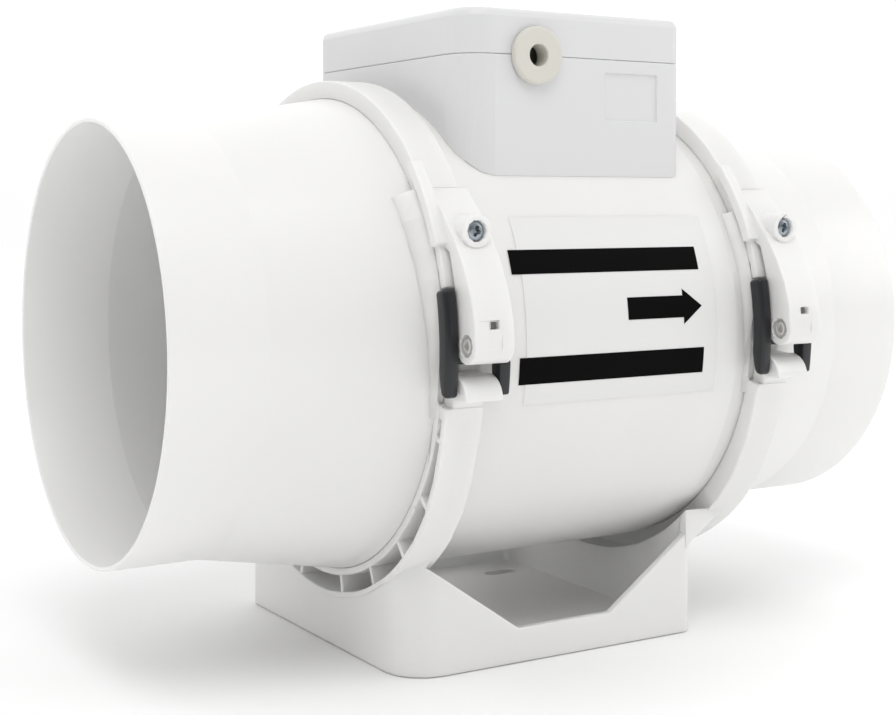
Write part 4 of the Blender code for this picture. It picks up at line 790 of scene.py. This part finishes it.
# --------------------------------------------------------------------------------- labels
FILM_THICKNESS, FILM_STEP = 0.06 * MM, 0.8 * MM
LABEL_LIFT, PRINT_LIFT = 0.02 * MM, 0.1 * MM    # undersides above the casing
SAME_LEVEL = 1e-9
LABEL = (-24.0, 42.5, 75.5, 126.0)              # x and z in mm, as for the printed bars
BARS = {
    "label_strip_upper": (-27.1, 37.4, 110.7, 117.2),
    "label_strip_lower": (-26.2, 37.4, 81.2, 88.5),
    "label_arrow_tail": (10.3, 30.1, 97.3, 103.5),
}
ARROW_HEAD = ((30.1, 95.4), (36.9, 100.4), (30.1, 105.4))


def on_casing(x, z, lift):
    """Point on the front of the casing at a length and height."""
    radius = CASING_RADIUS + lift
    rise = z - AXIS_Z
    return Vector((x, -math.sqrt(radius ** 2 - rise ** 2), z))


def span_at(outline, z):
    """Left and right x where a level crosses the outline."""
    hits = []
    for (x0, z0), (x1, z1) in zip(outline, outline[1:] + outline[:1]):
        if min(z0, z1) - SAME_LEVEL <= z <= max(z0, z1) + SAME_LEVEL:
            if abs(z1 - z0) < SAME_LEVEL:
                hits += [x0, x1]
            else:
                hits.append(x0 + (x1 - x0) * (z - z0) / (z1 - z0))
    return min(hits), max(hits)


def film(name, outline, look, slot, lift):
    """Thin printed film on the casing, cut to an (x, z) outline that is monotone in z."""
    levels = sorted({round(z, 6) for _, z in outline})
    fine = []
    for low, high in zip(levels, levels[1:]):
        count = max(1, int((high - low) / FILM_STEP))
        fine += [low + (high - low) * k / count for k in range(count)]
    fine.append(levels[-1])
    bm = bmesh.new()
    rows = []
    for z in fine:
        left, right = span_at(outline, z)
        corners = ((left, lift + FILM_THICKNESS), (right, lift + FILM_THICKNESS),
                   (right, lift), (left, lift))
        rows.append([bm.verts.new(on_casing(x, z, height)) for x, height in corners])
    for a, b in zip(rows, rows[1:]):
        bridged(bm, a, b)
    bm.faces.new(rows[0])
    bm.faces.new(rows[-1])
    sewn(bm)
    return shown(name, into_mesh(bm, name), look, slot, "fan_body")


def rectangle(x0, x1, z0, z1):
    """Corners of a rectangle that is given in mm."""
    return [(x0 * MM, z0 * MM), (x1 * MM, z0 * MM), (x1 * MM, z1 * MM), (x0 * MM, z1 * MM)]


def labels():
    """The label with its two bars and its arrow, all without words."""
    film("label_film", rectangle(*LABEL), STICKER, "white_plastic", LABEL_LIFT)
    for name, spans in BARS.items():
        film(name, rectangle(*spans), PRINT, "lever_plastic", PRINT_LIFT)
    head = [(x * MM, z * MM) for x, z in ARROW_HEAD]
    film("label_arrow_head", head, PRINT, "lever_plastic", PRINT_LIFT)


# --------------------------------------------------------------------- camera and studio
CAMERA_PLACE = (-0.25755, -0.41415, 0.13022)
CAMERA_DIP, CAMERA_HEADING = 1.78, -31.27
CAMERA_LENS, CAMERA_SENSOR, CAMERA_SHIFT = 62.74, 36.0, -0.12
SKY = (((0.0, 0.0, 1.0), 0.72), ((1.0, 0.0, 0.0), 0.54), ((-1.0, 0.0, 0.0), 0.34),
       ((0.0, 1.0, 0.0), 0.88), ((0.0, -1.0, 0.0), 0.06))
LAMPS = (
    ("right", (1.1, -0.6, 0.6), 0.7, 2.6),
    ("front_top", (-0.35, -0.6, 1.3), 0.8, 6.3),
)
LAMP_TARGET = (0.0, 0.0, 0.09)
TABLE_HALF_SIDE, TABLE_DROP = 4.0, 0.2 * MM
GLOW_CENTER = (0.0, 0.06, 0.0)
GLOW = {"From Min": 0.08, "From Max": 0.26, "To Min": 0.0, "To Max": 0.18}


def studio():
    """Camera, world, lamps and table."""
    scene = bpy.context.scene
    scene.view_settings.view_transform = "Standard"
    lens = bpy.data.cameras.new("camera")
    lens.lens = CAMERA_LENS
    lens.sensor_width = CAMERA_SENSOR
    lens.shift_y = CAMERA_SHIFT
    lens.clip_start = 0.01
    camera = linked("camera", lens)
    camera.location = CAMERA_PLACE
    camera.rotation_euler = (math.radians(90.0 - CAMERA_DIP), 0.0, math.radians(CAMERA_HEADING))
    scene.camera = camera
    world = bpy.data.worlds.new("studio")
    world.use_nodes = True
    sky(world.node_tree)
    scene.world = world
    for name, place, size, power in LAMPS:
        area(name, place, LAMP_TARGET, size, power)
    table()


def sky(tree):
    """Soft world light: each side of the room has its strength, which fades with direction."""
    place = tree.nodes.new("ShaderNodeTexCoord")
    total = None
    for direction, strength in SKY:
        along = node_at(tree, "ShaderNodeVectorMath", operation="DOT_PRODUCT")
        along.inputs[1].default_value = [strength * c for c in direction]
        tree.links.new(place.outputs["Generated"], along.inputs[0])
        clip = node_at(tree, "ShaderNodeMath", operation="MAXIMUM")
        tree.links.new(along.outputs["Value"], clip.inputs[0])
        clip.inputs[1].default_value = 0.0
        if total is not None:
            both = node_at(tree, "ShaderNodeMath", operation="ADD")
            tree.links.new(total.outputs["Value"], both.inputs[0])
            tree.links.new(clip.outputs["Value"], both.inputs[1])
            clip = both
        total = clip
    tree.links.new(total.outputs["Value"], tree.nodes["Background"].inputs["Color"])


def area(name, place, target, size, power):
    """Square soft light aimed at a point."""
    data = bpy.data.lights.new(name, "AREA")
    data.size = size
    data.energy = power
    lamp = linked(name, data)
    lamp.location = place
    aim = Vector(target) - Vector(place)
    lamp.rotation_euler = aim.to_track_quat("-Z", "Y").to_euler()


def table():
    """Wide pale table under the foot."""
    bm = bmesh.new()
    bmesh.ops.create_grid(bm, x_segments=1, y_segments=1, size=TABLE_HALF_SIDE)
    mesh = into_mesh(bm, "floor")
    look = moulded("floor_look", (0.9, 0.9, 0.9), 0.6, grain=40.0, depth=0.0, mottle=0.005)
    lit_table(look.node_tree)
    mesh.materials.append(look)
    floor = linked("floor", mesh)
    floor.location = (0.0, 0.0, -TABLE_DROP)


def lit_table(tree):
    """The table glows a little, except near the fan, so it meets the background unseen."""
    place = tree.nodes.new("ShaderNodeTexCoord")
    away = node_at(tree, "ShaderNodeVectorMath", operation="DISTANCE")
    tree.links.new(place.outputs["Object"], away.inputs[0])
    away.inputs[1].default_value = GLOW_CENTER
    ramp = node_at(tree, "ShaderNodeMapRange", interpolation_type="SMOOTHSTEP")
    for socket, value in GLOW.items():
        ramp.inputs[socket].default_value = value
    tree.links.new(away.outputs["Value"], ramp.inputs["Value"])
    shader = tree.nodes["Principled BSDF"]
    shader.inputs["Emission Color"].default_value = (1.0, 1.0, 1.0, 1.0)
    tree.links.new(ramp.outputs["Result"], shader.inputs["Emission Strength"])


studio()
plain_nodes()
shells()
mouldings()
fasteners()
labels()
